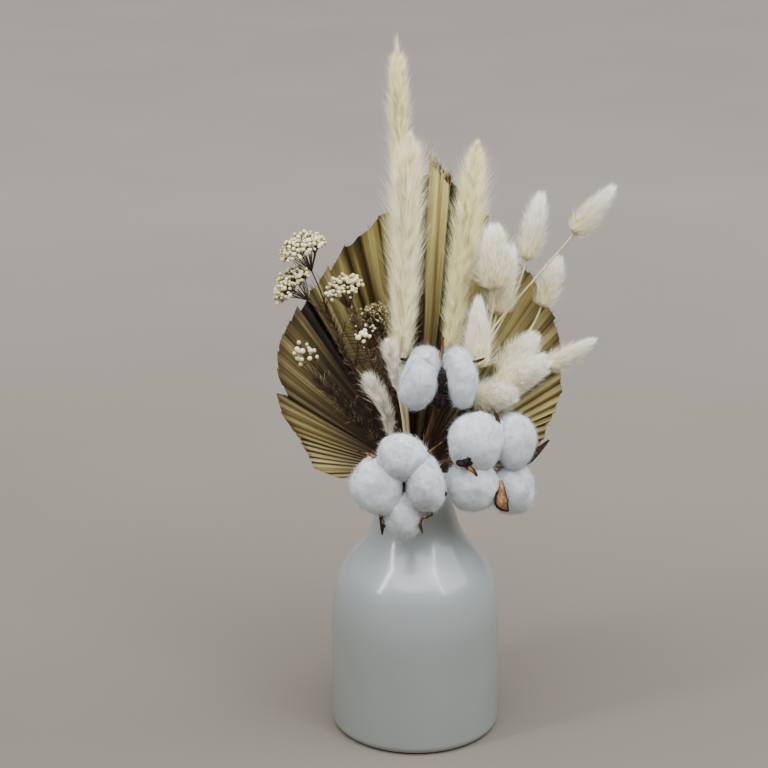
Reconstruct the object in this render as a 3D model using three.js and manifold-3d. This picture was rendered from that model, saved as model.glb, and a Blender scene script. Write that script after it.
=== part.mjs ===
// A dried-flower arrangement in a ceramic bottle vase: three open cotton bolls in front of a trimmed
// fan palm leaf, with grass plumes, bunny-tail grass and rice flower, each on a stem of its own that
// runs through the vase's neck and stands on its floor.
// Millimetres, +Z up. The origin is the centre of the vase's flat foot, and the front faces -Y.
import * as THREE from "three";
import { mergeVertices } from "three/addons/utils/BufferGeometryUtils.js";
import Module from "manifold-3d";

const wasm = await Module();
wasm.setup();

// Driving dimensions of the vase: a squat bottle whose round shoulder sweeps up into a narrow neck.
const VASE = {
  radius: 48,
  height: 146,
  neckRadius: 17,
  wall: 3.5,
  floor: 5,
  footRounding: 5,
  sides: 32,
  rings: 14,
};

// The vase's shoulder from the straight body up to just below the lip, as radius and height.
const SHOULDER = [
  [48, 60],
  [47.3, 73],
  [45.4, 86],
  [42.2, 95],
  [37.2, 102.5],
  [32.2, 108.5],
  [28, 114.5],
  [24.8, 121],
  [21.8, 130],
  [18.2, 140],
  [17, 144.5],
];

// Driving dimensions of the palm leaf: a fan of pleats round a hub just above the vase's mouth.
const PALM = {
  hub: [-1, 6, 151],
  pleats: 40,
  rows: 2,
  innerRadius: 6,
  thickness: 0.8,
  foldSlope: 0.7,
  notch: 0.012,
  lean: 0.16,
  cupping: 0.0012,
  petioleRadius: 2.6,
  spearAngle: 85.5,
  spearWidth: 11,
  spearDepth: 4,
  spearRise: 12,
  knot: [8.5, 3.2, 8],
};

// The trimmed margin of the leaf: its reach from the hub at an angle in degrees, from the left lobe's
// lower edge over the top to the right lobe's.
const PALM_MARGIN = [
  [187, 40],
  [180, 57],
  [169, 67],
  [157, 84],
  [152, 83],
  [139, 102],
  [126, 110],
  [114, 122],
  [105, 133],
  [96, 146],
  [87, 164],
  [83, 162],
  [76, 148],
  [63, 131],
  [50, 120],
  [38, 105],
  [27, 93],
  [15, 77],
  [2, 66],
  [-5, 56],
];

// A grass plume: its core and its spikelets' roots as shares of its half width, and how far the
// spikelets open, in degrees. Its outline swells from the root and narrows towards the tip.
const PLUME = {
  rootShare: 0.6,
  swelling: 2,
  tipShare: 0.04,
  tapering: 2.4,
  core: 0.58,
  rings: 7,
  inset: 0.2,
  needle: 0.22,
  opening: 24,
  scatter: 8,
};

// A bunny-tail head: its core as a share of its half width and length, and its bristles, which open
// less towards the tip.
const TAIL = {
  core: 0.84,
  coreLength: 0.44,
  middle: 0.46,
  stemRadius: 0.6,
  bristles: 11,
  bristleLength: 0.29,
  bristleWidth: 0.2,
  opening: 34,
  closing: 26,
  scatter: 6,
};

// Rice flower: the radii of its woody parts and buds, and its needle leaves.
const RICE = {
  stemRadius: 0.9,
  tipRadius: 0.7,
  forkRadius: 0.8,
  budRadius: 2.1,
  leafLength: 7,
  leafScatter: 3,
  leafRadius: 0.55,
  leafOpening: 35,
};

// The burr of a cotton boll: its cup, its stem and its pointed valves.
const BURR = {
  cupRadius: 7,
  stemRadius: 1.6,
  valveWidth: 4.5,
  valveTaper: [0.7, 1, 1, 0.7, 0.1],
  valveFlatness: 0.3,
};

// Gaps: a stem's foot stands this far off the vase's floor, and cotton lies this far from its burr.
const SEAT_GAP = 0.3;
// Stems stand in slots of their own in the neck, and spread a little from there down to the floor.
const NECK_LEVEL = VASE.height - 4;
const FOOT_SPREAD = 1.5;
const STEM_STEPS = 6;

const COLOURS = {
  ceramic: 0xdfe3e2,
  palm: 0x9a8a55,
  plume: 0xe6dcc0,
  tail: 0xebe4d2,
  rice: 0xd8cfae,
  cotton: 0xf4f4f4,
  burr: 0x6b4027,
};

const UP = new THREE.Vector3(0, 0, 1);
const GOLDEN_ANGLE = Math.PI * (3 - Math.sqrt(5));

function vec(point) {
  return new THREE.Vector3(point[0], point[1], point[2]);
}

function radians(degrees) {
  return (degrees * Math.PI) / 180;
}

// A repeatable random number from 0 to 1.
function seeded(seed) {
  let state = seed >>> 0;
  return () => {
    state = (state + 0x6d2b79f5) >>> 0;
    let mixed = Math.imul(state ^ (state >>> 15), state | 1);
    mixed ^= mixed + Math.imul(mixed ^ (mixed >>> 7), mixed | 61);
    return ((mixed ^ (mixed >>> 14)) >>> 0) / 4294967296;
  };
}

// A closed geometry as a solid that can be joined and cut.
function solidOf(geometry) {
  const loose = geometry.index ? geometry.toNonIndexed() : geometry.clone();
  loose.deleteAttribute("normal");
  loose.deleteAttribute("uv");
  const merged = mergeVertices(loose, 1e-4);
  return new wasm.Manifold(
    new wasm.Mesh({
      numProp: 3,
      vertProperties: merged.attributes.position.array,
      triVerts: new Uint32Array(merged.index.array),
    }),
  );
}

// Joins solids two by two, so that no join is between a large and a small one for long.
function joined(solids) {
  if (solids.length === 1) return solids[0];
  const half = Math.ceil(solids.length / 2);
  return joined(solids.slice(0, half)).add(joined(solids.slice(half)));
}

function fused(geometries) {
  return joined(geometries.map(solidOf));
}

// The largest body of a solid: a loose scrap left by a cut is dropped.
function largestBody(solid) {
  const bodies = solid.decompose();
  return bodies.reduce((best, body) => (body.volume() > best.volume() ? body : best));
}

function meshOf(name, solid, colour, roughness = 0.9) {
  const data = solid.getMesh();
  const geometry = new THREE.BufferGeometry();
  geometry.setAttribute("position", new THREE.BufferAttribute(data.vertProperties, 3));
  geometry.setIndex(new THREE.BufferAttribute(data.triVerts, 1));
  geometry.computeVertexNormals();
  const material = new THREE.MeshStandardMaterial({ color: colour, roughness, metalness: 0 });
  const mesh = new THREE.Mesh(geometry, material);
  mesh.name = name;
  return mesh;
}

// Two directions across a line of points, carried along it without twisting from the first one.
function framesAlong(points, first) {
  const rise = points[1].clone().sub(points[0]).normalize();
  const helper = Math.abs(rise.z) < 0.9 ? UP : new THREE.Vector3(1, 0, 0);
  let across = first ?? helper.clone().cross(rise);
  return points.map((point, i) => {
    const before = points[Math.max(i - 1, 0)];
    const after = points[Math.min(i + 1, points.length - 1)];
    const along = after.clone().sub(before).normalize();
    across = across.clone().addScaledVector(along, -across.dot(along)).normalize();
    return { across, side: across.clone().cross(along) };
  });
}

// A round or flattened limb along a line of points: a cylinder whose rings are moved onto them. A
// flattened one is wide along its first direction across.
function limb(points, radii, sides, flatness = 1, first = undefined) {
  const last = points.length - 1;
  const geometry = new THREE.CylinderGeometry(1, 1, 1, sides, last);
  const frames = framesAlong(points, first);
  const position = geometry.attributes.position;
  for (let i = 0; i < position.count; i++) {
    const ring = Math.round((position.getY(i) + 0.5) * last);
    const radius = Array.isArray(radii) ? radii[ring] : radii;
    const moved = points[ring]
      .clone()
      .addScaledVector(frames[ring].across, radius * position.getX(i))
      .addScaledVector(frames[ring].side, radius * flatness * position.getZ(i));
    position.setXYZ(i, moved.x, moved.y, moved.z);
  }
  return geometry;
}

// A three-sided needle with its root sunk at base.
function needle(base, direction, length, radius) {
  const geometry = new THREE.ConeGeometry(radius, length, 3, 1);
  geometry.translate(0, length / 2, 0);
  const turn = new THREE.Quaternion().setFromUnitVectors(new THREE.Vector3(0, 1, 0), direction);
  geometry.applyQuaternion(turn);
  geometry.translate(base.x, base.y, base.z);
  return geometry;
}

// The route of a stem: from the vase's floor up through the neck at slot, then in one bend to reach,
// where it arrives along a given direction.
function stemRoute(slot, reach, arriving, bend = 0.4) {
  const neck = vec([slot[0], slot[1], NECK_LEVEL]);
  const foot = vec([slot[0] * FOOT_SPREAD, slot[1] * FOOT_SPREAD, VASE.floor + SEAT_GAP]);
  const pull = neck.distanceTo(reach) * bend;
  const rise = new THREE.CubicBezierCurve3(
    neck,
    neck.clone().addScaledVector(UP, pull),
    reach.clone().addScaledVector(arriving, -pull),
    reach,
  );
  return [foot, ...rise.getPoints(STEM_STEPS)];
}

// The vase's outer wall from the foot up, as radius and height.
function vaseOuterWall() {
  const foot = VASE.footRounding;
  const points = [new THREE.Vector2(0, 0)];
  for (let i = 0; i <= 3; i++) {
    const turn = (i / 3) * (Math.PI / 2);
    const across = VASE.radius - foot + foot * Math.sin(turn);
    points.push(new THREE.Vector2(across, foot - foot * Math.cos(turn)));
  }
  const shoulder = new THREE.SplineCurve(SHOULDER.map(([across, z]) => new THREE.Vector2(across, z)));
  return points.concat(shoulder.getPoints(VASE.rings));
}

function vase() {
  const outer = vaseOuterWall();
  const lipRadius = VASE.wall / 2;
  const lipCentre = VASE.neckRadius - lipRadius;
  const lip = [35, 90, 145].map((degrees) => {
    const turn = radians(degrees);
    const across = lipCentre + lipRadius * Math.cos(turn);
    return new THREE.Vector2(across, VASE.height - lipRadius + lipRadius * Math.sin(turn));
  });
  const inner = outer
    .slice(2)
    .map((point) => new THREE.Vector2(point.x - VASE.wall, Math.max(point.y, VASE.floor)))
    .filter((point, i) => i % 2 === 0)
    .reverse();
  const profile = [...outer, ...lip, ...inner, new THREE.Vector2(0, VASE.floor)];
  const geometry = new THREE.LatheGeometry(profile, VASE.sides);
  geometry.rotateX(Math.PI / 2);
  return solidOf(geometry);
}

// The leaf's reach at an angle, between two points of its margin.
function palmReach(angle) {
  const next = Math.max(1, PALM_MARGIN.findIndex(([at]) => at <= angle));
  const [fromAngle, fromReach] = PALM_MARGIN[next - 1];
  const [toAngle, toReach] = PALM_MARGIN[next];
  return fromReach + ((toReach - fromReach) * (angle - fromAngle)) / (toAngle - fromAngle);
}

// The leaf leans back as it rises, and its two sides cup backwards.
function palmDepth(x, z) {
  const [, hubY, hubZ] = PALM.hub;
  return hubY + PALM.lean * (z - hubZ) + PALM.cupping * x * x;
}

// The pleated blade: fold lines fan out from the hub, ridge and valley in turn.
function palmBlade() {
  const folds = PALM.pleats * 2;
  const [leftAngle] = PALM_MARGIN[0];
  const [rightAngle] = PALM_MARGIN[PALM_MARGIN.length - 1];
  const step = radians(leftAngle - rightAngle) / folds;
  const [hubX, , hubZ] = PALM.hub;
  const positions = [];
  const indices = [];
  const rowSize = PALM.rows + 1;
  const sheet = (folds + 1) * rowSize;
  for (const face of [-1, 1]) {
    for (let i = 0; i <= folds; i++) {
      const angle = leftAngle + ((rightAngle - leftAngle) * i) / folds;
      const ridge = i % 2 ? -1 : 1;
      const reach = palmReach(angle) * (1 + PALM.notch * ridge);
      for (let j = 0; j <= PALM.rows; j++) {
        const along = PALM.innerRadius + (reach - PALM.innerRadius) * (j / PALM.rows);
        const x = hubX + along * Math.cos(radians(angle));
        const z = hubZ + along * Math.sin(radians(angle));
        const fold = (ridge * along * step * PALM.foldSlope) / 2;
        const skin = (face * PALM.thickness * Math.hypot(1, PALM.foldSlope)) / 2;
        positions.push(x, palmDepth(x, z) + fold + skin, z);
      }
    }
  }
  const quad = (a, b, c, d) => indices.push(a, b, c, a, c, d);
  const at = (i, j, back) => back * sheet + i * rowSize + j;
  for (let i = 0; i < folds; i++) {
    for (let j = 0; j < PALM.rows; j++) {
      indices.push(at(i, j, 0), at(i + 1, j, 0), at(i + 1, j + 1, 0));
      indices.push(at(i, j, 0), at(i + 1, j + 1, 0), at(i, j + 1, 0));
      indices.push(at(i, j, 1), at(i + 1, j + 1, 1), at(i + 1, j, 1));
      indices.push(at(i, j, 1), at(i, j + 1, 1), at(i + 1, j + 1, 1));
    }
    const tip = PALM.rows;
    quad(at(i, 0, 0), at(i, 0, 1), at(i + 1, 0, 1), at(i + 1, 0, 0));
    quad(at(i, tip, 0), at(i + 1, tip, 0), at(i + 1, tip, 1), at(i, tip, 1));
  }
  for (let j = 0; j < PALM.rows; j++) {
    quad(at(0, j, 0), at(0, j + 1, 0), at(0, j + 1, 1), at(0, j, 1));
    quad(at(folds, j, 0), at(folds, j, 1), at(folds, j + 1, 1), at(folds, j + 1, 0));
  }
  const geometry = new THREE.BufferGeometry();
  geometry.setAttribute("position", new THREE.Float32BufferAttribute(positions, 3));
  geometry.setIndex(indices);
  return geometry;
}

// The spear: the middle fold of the leaf, still closed, stands out in front and above the rest.
function palmSpear() {
  const hub = vec(PALM.hub);
  const turn = radians(PALM.spearAngle);
  const reach = Math.max(...PALM_MARGIN.map(([, each]) => each)) + PALM.spearRise;
  const points = [0.05, 0.35, 0.7, 1].map((share) => {
    const x = hub.x + reach * share * Math.cos(turn);
    const z = hub.z + reach * share * Math.sin(turn);
    return new THREE.Vector3(x, palmDepth(x, z) - PALM.spearDepth / 3, z);
  });
  const radii = [0.3, 0.6, 0.9, 1].map((share) => (share * PALM.spearDepth) / 2);
  return limb(points, radii, 6, PALM.spearWidth / PALM.spearDepth);
}

// The blade with its spear, the swollen hub that its pleats meet in, and the petiole into the vase.
function palmLeaf() {
  const hub = vec(PALM.hub);
  const knot = new THREE.SphereGeometry(1, 10, 6);
  knot.scale(...PALM.knot);
  knot.translate(hub.x, hub.y, hub.z);
  const slot = [hub.x, hub.y];
  const petiole = limb(stemRoute(slot, hub, UP), PALM.petioleRadius, 6);
  return fused([palmBlade(), palmSpear(), knot, petiole]);
}

// The direction at an opening angle from along, on the side of it that outward is on.
function leaning(along, outward, opening) {
  const across = outward.clone().addScaledVector(along, -outward.dot(along)).normalize();
  return along.clone().multiplyScalar(Math.cos(opening)).addScaledVector(across, Math.sin(opening));
}

// A grass plume: a slim spindle along a curve with needle-like spikelets all round it, out to the tip.
function plume({ slot, line, halfWidth, spikelets, seed, stemRadius = 1 }) {
  const random = seeded(seed);
  const spine = new THREE.CatmullRomCurve3(line.map(vec));
  const points = spine.getPoints(PLUME.rings);
  const widthAt = (t) => {
    const swollen = Math.min(1, PLUME.rootShare + PLUME.swelling * t);
    const tapered = Math.sqrt(Math.min(1, PLUME.tipShare + PLUME.tapering * (1 - t)));
    return halfWidth * swollen * tapered;
  };
  const radii = points.map((_, i) => PLUME.core * widthAt(i / PLUME.rings));
  const arriving = spine.getTangent(0);
  const root = points[0].clone().addScaledVector(arriving, 2);
  const parts = [limb(points, radii, 6), limb(stemRoute(slot, root, arriving), stemRadius, 4)];
  for (let i = 0; i < spikelets; i++) {
    const t = (i + 0.5) / spikelets;
    const along = spine.getTangent(t);
    const outward = new THREE.Vector3(0, 1, 0).applyAxisAngle(along, i * GOLDEN_ANGLE);
    const opening = radians(PLUME.opening + PLUME.scatter * random());
    const inset = PLUME.inset * widthAt(t);
    const place = spine.getPoint(t).addScaledVector(leaning(along, outward, Math.PI / 2), inset);
    const reach = (widthAt(t) - inset) / Math.sin(opening);
    parts.push(needle(place, leaning(along, outward, opening), reach, PLUME.needle * widthAt(t)));
  }
  return largestBody(fused(parts));
}

// A bunny-tail head: an egg of soft bristles, swept towards its tip, on a thin stem.
function bunnyTail({ slot, base, tip, halfWidth, seed }) {
  const random = seeded(seed);
  const from = vec(base);
  const along = vec(tip).sub(from).normalize();
  const length = from.distanceTo(vec(tip));
  const turn = new THREE.Quaternion().setFromUnitVectors(new THREE.Vector3(0, 1, 0), along);
  const at = (share) => from.clone().addScaledVector(along, share * length);
  const middle = at(TAIL.middle);
  const egg = new THREE.SphereGeometry(1, 8, 5);
  egg.scale(TAIL.core * halfWidth, TAIL.coreLength * length, TAIL.core * halfWidth);
  egg.applyQuaternion(turn);
  egg.translate(middle.x, middle.y, middle.z);
  const parts = [egg, limb(stemRoute(slot, at(0.12), along), TAIL.stemRadius, 4)];
  const side = new THREE.Vector3(1, 0, 0).applyQuaternion(turn);
  for (let i = 0; i < TAIL.bristles; i++) {
    const t = (i + 0.5) / TAIL.bristles;
    const outward = side.clone().applyAxisAngle(along, i * GOLDEN_ANGLE);
    const opening = radians(TAIL.opening - TAIL.closing * t + TAIL.scatter * random());
    const share = 0.12 + 0.6 * t;
    const bulge = Math.sqrt(1 - ((share - TAIL.middle) / 0.5) ** 2);
    const place = at(share).addScaledVector(outward, 0.5 * halfWidth * bulge);
    const direction = leaning(along, outward, opening);
    parts.push(needle(place, direction, TAIL.bristleLength * length, TAIL.bristleWidth * halfWidth));
  }
  return largestBody(fused(parts));
}

// A pointed bud whose underside is drawn out into a stalk down to its foot.
function stalkedBud(centre, foot) {
  const geometry = new THREE.OctahedronGeometry(RICE.budRadius);
  const position = geometry.attributes.position;
  for (let i = 0; i < position.count; i++) {
    if (position.getZ(i) < -RICE.budRadius / 2) position.setZ(i, -centre.distanceTo(foot));
  }
  const outward = centre.clone().sub(foot).normalize();
  geometry.applyQuaternion(new THREE.Quaternion().setFromUnitVectors(UP, outward));
  geometry.translate(centre.x, centre.y, centre.z);
  return geometry;
}

// A dome of buds: a forking stalk with a small core, from which each bud stands out on its own foot.
function budDome(fork, { centre, radius, buds }, random) {
  const crown = vec(centre);
  const facing = crown.clone().sub(fork).normalize();
  const turn = new THREE.Quaternion().setFromUnitVectors(UP, facing);
  const core = new THREE.IcosahedronGeometry(0.45 * radius, 0);
  const crotch = crown.clone().addScaledVector(facing, -0.25 * radius);
  core.translate(crotch.x, crotch.y, crotch.z);
  const parts = [core, limb([fork, crotch], RICE.forkRadius, 4)];
  for (let i = 0; i < buds; i++) {
    const lift = 1 - (i + 0.5) / buds;
    const flat = Math.sqrt(1 - lift * lift);
    const spin = i * GOLDEN_ANGLE;
    const bud = new THREE.Vector3(flat * Math.cos(spin), flat * Math.sin(spin), 0.7 * lift);
    bud.multiplyScalar(radius * (0.82 + 0.18 * random())).applyQuaternion(turn).add(crown);
    parts.push(stalkedBud(bud, crotch.clone().lerp(bud, 0.25)));
  }
  return parts;
}

// A rice-flower spray: a woody stem with needle leaves, whose branches end in domes of small buds.
function riceFlower({ slot, line, heads, leaves, seed }) {
  const random = seeded(seed);
  const spine = new THREE.CatmullRomCurve3(line.map(vec));
  const arriving = spine.getTangent(0);
  const root = spine.getPoint(0).addScaledVector(arriving, 1);
  const woody = spine.getPoints(5);
  const radii = woody.map((_, i) => THREE.MathUtils.lerp(RICE.stemRadius, RICE.tipRadius, i / 5));
  const parts = [limb(stemRoute(slot, root, arriving), RICE.stemRadius, 5), limb(woody, radii, 5)];
  for (const head of heads) parts.push(...budDome(spine.getPoint(head.from), head, random));
  for (let i = 0; i < leaves; i++) {
    const t = (i + 0.5) / leaves;
    const place = spine.getPoint(t * 0.9);
    const along = spine.getTangent(t * 0.9);
    const outward = new THREE.Vector3(1, 0, 0).applyAxisAngle(along, i * GOLDEN_ANGLE);
    const direction = leaning(along, outward, radians(RICE.leafOpening));
    parts.push(needle(place, direction, RICE.leafLength + RICE.leafScatter * random(), RICE.leafRadius));
  }
  return largestBody(fused(parts));
}

// A boll's own directions: facing is where it opens towards, right and top lie across it.
function bollFrame(facing) {
  const out = vec(facing).normalize();
  const right = out.clone().cross(UP).negate().normalize();
  const top = right.clone().cross(out).negate().normalize();
  return { out, right, top };
}

function bollPoint(boll, frame, across, up, out) {
  return vec(boll.centre)
    .addScaledVector(frame.right, across)
    .addScaledVector(frame.top, up)
    .addScaledVector(frame.out, out);
}

// One lock of cotton: a soft egg with low swellings where its seeds sit. Its top leans to the right by
// lean degrees.
function lock(boll, frame, { across, up, out = 0, width, height, depth, lean = 0 }, grow) {
  const geometry = new THREE.IcosahedronGeometry(1, 2);
  const position = geometry.attributes.position;
  const [sin, cos] = [Math.sin(radians(lean)), Math.cos(radians(lean))];
  for (let i = 0; i < position.count; i++) {
    const x = position.getX(i);
    const y = position.getY(i);
    const z = position.getZ(i);
    const seeds = Math.sin(3 * x + across) * Math.cos(3.5 * y + up);
    const swell = 1 + 0.05 * seeds + 0.03 * Math.sin(5 * z + width);
    const wide = x * (width / 2 + grow) * swell;
    const high = y * (height / 2 + grow) * swell;
    const deep = z * (depth / 2 + grow) * swell;
    const moved = bollPoint(
      boll,
      frame,
      across + wide * cos + high * sin,
      up + high * cos - wide * sin,
      out + deep,
    );
    position.setXYZ(i, moved.x, moved.y, moved.z);
  }
  return geometry;
}

function cotton(boll, grow = 0) {
  const frame = bollFrame(boll.facing);
  return fused(boll.locks.map((each) => lock(boll, frame, each, grow)));
}

// A valve of the burr: a pointed woody leaf from the cup outwards, then forwards between two locks.
function valve(boll, frame, { angle, reach, out = 2, width = BURR.valveWidth }) {
  const turn = radians(angle);
  const at = (share, level) =>
    bollPoint(boll, frame, Math.cos(turn) * reach * share, Math.sin(turn) * reach * share, level);
  const spine = new THREE.CatmullRomCurve3([
    at(0.1, -boll.depth - 1),
    at(0.5, -boll.depth * 0.95),
    at(0.85, -boll.depth * 0.55),
    at(1, out),
  ]);
  const radii = BURR.valveTaper.map((share) => share * width);
  const sideways = frame.top.clone().multiplyScalar(Math.cos(turn));
  sideways.addScaledVector(frame.right, -Math.sin(turn));
  return limb(spine.getPoints(radii.length - 1), radii, 5, BURR.valveFlatness, sideways);
}

// The burr: a woody cup behind the cotton with a valve between each two locks, on its stem.
function burr(boll) {
  const frame = bollFrame(boll.facing);
  const back = bollPoint(boll, frame, 0, boll.cupLevel ?? 0, -boll.depth);
  const cup = new THREE.SphereGeometry(BURR.cupRadius, 10, 6);
  cup.translate(back.x, back.y, back.z);
  const arriving = vec(boll.arriving).normalize();
  const root = back.clone().addScaledVector(arriving, -2);
  const stem = limb(stemRoute(boll.slot, root, arriving, boll.bend), BURR.stemRadius, 6);
  const valves = boll.valves.map((each) => valve(boll, frame, each));
  return largestBody(fused([cup, stem, ...valves]).subtract(cotton(boll, SEAT_GAP)));
}

const PLUMES = {
  plume_tall: {
    slot: [-3.4, 0.6],
    line: [[-9, 12, 249], [-9, 16, 304], [-10, 19, 348], [-11, 21, 388]],
    halfWidth: 6.6,
    spikelets: 34,
    seed: 11,
  },
  plume_broad: {
    slot: [-5, -2.4],
    line: [[-8, -4, 218], [-7, -3, 253], [-6, 0, 297], [-5, 3, 345]],
    halfWidth: 10.5,
    spikelets: 38,
    seed: 12,
  },
  plume_right: {
    slot: [3.4, 1.4],
    line: [[18, 2, 219], [22, 5, 251], [27, 8, 289], [33, 12, 340]],
    halfWidth: 9,
    spikelets: 36,
    seed: 13,
  },
  plume_small_left: {
    slot: [-7.5, -4.5],
    line: [[-14, -10, 177], [-17, -10, 192], [-23, -9, 205], [-30, -8, 217]],
    halfWidth: 6.5,
    spikelets: 20,
    seed: 14,
    stemRadius: 0.8,
  },
  plume_small_back: {
    slot: [-5.6, -6.6],
    line: [[-10, -14, 204], [-12, -13, 214], [-14, -12, 224], [-16, -12, 232]],
    halfWidth: 4,
    spikelets: 12,
    seed: 15,
    stemRadius: 0.8,
  },
};

const BUNNY_TAILS = [
  { slot: [6.2, -1], base: [42, -5, 259], tip: [41, -7, 297], halfWidth: 8 },
  { slot: [5.4, 2.2], base: [44, 8, 241], tip: [52, 10, 281], halfWidth: 7.6 },
  { slot: [7, 4.2], base: [60, 14, 270], tip: [68, 17, 309], halfWidth: 6.3 },
  { slot: [9, -0.6], base: [84, -2, 289], tip: [105, -6, 317], halfWidth: 6.4 },
  { slot: [9, 3], base: [69, 14, 245], tip: [79, 17, 274], halfWidth: 6.2 },
  { slot: [5.4, -3.2], base: [33, -13, 217], tip: [33, -12, 258], halfWidth: 7.5 },
  { slot: [7.4, 1.4], base: [46, 1, 209], tip: [66, 3, 233], halfWidth: 7.2 },
  { slot: [10, -2.6], base: [43, -11, 205], tip: [72, -15, 224], halfWidth: 8 },
  { slot: [10.2, 1], base: [72, -2, 214], tip: [98, -6, 232], halfWidth: 5.3 },
  { slot: [9.8, -5.6], base: [32, -18, 203], tip: [55, -27, 206], halfWidth: 7.6 },
];

const RICE_FLOWERS = {
  rice_flower_upper: {
    slot: [-9.6, 2.4],
    line: [[-22, 3, 185], [-38, 4, 217], [-51, 5, 250]],
    heads: [
      { from: 0.95, centre: [-62, 6, 277], radius: 13, buds: 19 },
      { from: 0.8, centre: [-68, 3, 258], radius: 13, buds: 18 },
    ],
    leaves: 14,
    seed: 31,
  },
  rice_flower_middle: {
    slot: [-8, -0.4],
    line: [[-16, 1, 185], [-25, 2, 213], [-35, 4, 240]],
    heads: [
      { from: 0.95, centre: [-40, 4, 255], radius: 10, buds: 14 },
      { from: 0.7, centre: [-22, 5, 242], radius: 6, buds: 8 },
      { from: 0.6, centre: [-29, -3, 232], radius: 4, buds: 5 },
    ],
    leaves: 14,
    seed: 32,
  },
  rice_flower_lower: {
    slot: [-11, -0.6],
    line: [[-20, 2, 168], [-38, 4, 186], [-56, 7, 205]],
    heads: [{ from: 0.95, centre: [-62, 7, 214], radius: 10, buds: 13 }],
    leaves: 16,
    seed: 33,
  },
};

const BOLLS = {
  top: {
    centre: [12, -25, 215],
    facing: [0.06, -1, 0.15],
    depth: 9,
    cupLevel: -9,
    slot: [1.2, -4],
    arriving: [0.1, -0.35, 1],
    locks: [
      { across: -11.5, up: -1.5, out: 1, width: 23, height: 32, depth: 24, lean: 6 },
      { across: 11.5, up: -1.5, out: 1, width: 21, height: 34, depth: 24, lean: -7 },
      { across: -6.5, up: 10, out: -4, width: 20, height: 20, depth: 21 },
      { across: 8.5, up: 9, out: -5, width: 18.5, height: 20, depth: 21 },
    ],
    valves: [
      { angle: 85, reach: 24, out: -1, width: 3.5 },
      { angle: 20, reach: 25, width: 3.5 },
      { angle: 155, reach: 24, width: 3.5 },
      { angle: -95, reach: 17, width: 6 },
    ],
  },
  front: {
    centre: [-7, -48, 162],
    facing: [-0.12, -1, -0.05],
    depth: 12,
    slot: [-2.4, -8.4],
    arriving: [-0.1, -1, 0.25],
    bend: 0.5,
    locks: [
      { across: -1.5, up: 17.5, width: 29.5, height: 27.5, depth: 26, lean: 12 },
      { across: -15, up: -0.5, width: 32, height: 34, depth: 28, lean: -12 },
      { across: 11, up: 2, width: 24, height: 35, depth: 26, lean: -10 },
      { across: -1, up: -17.5, width: 22.5, height: 29, depth: 24 },
    ],
    valves: [
      { angle: 52, reach: 32, width: 4 },
      { angle: 145, reach: 31, width: 3.5 },
      { angle: -113, reach: 31, out: 3 },
      { angle: -68, reach: 28, out: 3 },
    ],
  },
  right: {
    centre: [42, -29, 168],
    facing: [0.42, -1, -0.02],
    depth: 12,
    slot: [3.2, -9.4],
    arriving: [0.75, -0.65, 0.3],
    bend: 0.5,
    locks: [
      { across: -11.5, up: 14, width: 34, height: 34, depth: 28, lean: 8 },
      { across: -13, up: -11, width: 32, height: 30, depth: 27 },
      { across: 11.5, up: 11.5, width: 25.5, height: 33, depth: 26 },
      { across: 11.5, up: -16.5, width: 27, height: 31, depth: 25 },
    ],
    valves: [
      { angle: 88, reach: 31, width: 3.5 },
      { angle: 172, reach: 25, out: 6 },
      { angle: -79, reach: 27, out: 8, width: 7 },
      { angle: 13, reach: 31, width: 4 },
    ],
  },
};

const arrangement = new THREE.Group();
arrangement.add(meshOf("vase", vase(), COLOURS.ceramic, 0.45));
arrangement.add(meshOf("palm_leaf", palmLeaf(), COLOURS.palm, 0.7));
for (const [name, values] of Object.entries(PLUMES)) {
  arrangement.add(meshOf(name, plume(values), COLOURS.plume));
}
BUNNY_TAILS.forEach((values, i) => {
  const solid = bunnyTail({ ...values, seed: 20 + i });
  arrangement.add(meshOf(`bunny_tail_${i + 1}`, solid, COLOURS.tail));
});
for (const [name, values] of Object.entries(RICE_FLOWERS)) {
  arrangement.add(meshOf(name, riceFlower(values), COLOURS.rice));
}
for (const [name, boll] of Object.entries(BOLLS)) {
  arrangement.add(meshOf(`cotton_${name}`, cotton(boll), COLOURS.cotton));
  arrangement.add(meshOf(`cotton_stem_${name}`, burr(boll), COLOURS.burr, 0.8));
}

export default arrangement;
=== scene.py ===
# The looks of a dried-flower arrangement in a ceramic bottle vase: three open cotton bolls in front of
# a trimmed fan palm leaf, with grass plumes, bunny-tail grass and rice flower.
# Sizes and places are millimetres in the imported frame, +Z up and the front facing -Y, until a piece's
# mesh is made in metres.
import math

import bmesh
import bpy
import numpy as np
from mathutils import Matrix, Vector, noise


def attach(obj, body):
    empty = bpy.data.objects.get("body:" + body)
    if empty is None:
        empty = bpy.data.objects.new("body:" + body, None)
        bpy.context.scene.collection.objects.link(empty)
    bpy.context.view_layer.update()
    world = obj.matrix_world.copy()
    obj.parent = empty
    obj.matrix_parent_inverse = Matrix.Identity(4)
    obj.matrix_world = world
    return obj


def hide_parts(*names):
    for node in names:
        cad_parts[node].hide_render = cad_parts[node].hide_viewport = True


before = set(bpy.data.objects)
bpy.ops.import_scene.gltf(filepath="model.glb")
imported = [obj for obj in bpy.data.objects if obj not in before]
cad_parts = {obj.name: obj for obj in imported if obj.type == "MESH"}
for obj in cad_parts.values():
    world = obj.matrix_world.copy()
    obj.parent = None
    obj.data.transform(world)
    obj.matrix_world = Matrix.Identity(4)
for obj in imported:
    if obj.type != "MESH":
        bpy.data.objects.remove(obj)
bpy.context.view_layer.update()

MM = 0.001
RIGHT = np.array([1.0, 0.0, 0.0])
BACK = np.array([0.0, 1.0, 0.0])
UP = np.array([0.0, 0.0, 1.0])
FULL_TURN = 2 * math.pi
GOLDEN_ANGLE = math.pi * (3 - math.sqrt(5))
PALM_SEED = 5
SPEAR_SEED = 7
SPLIT_END_SEED = 8
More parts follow.
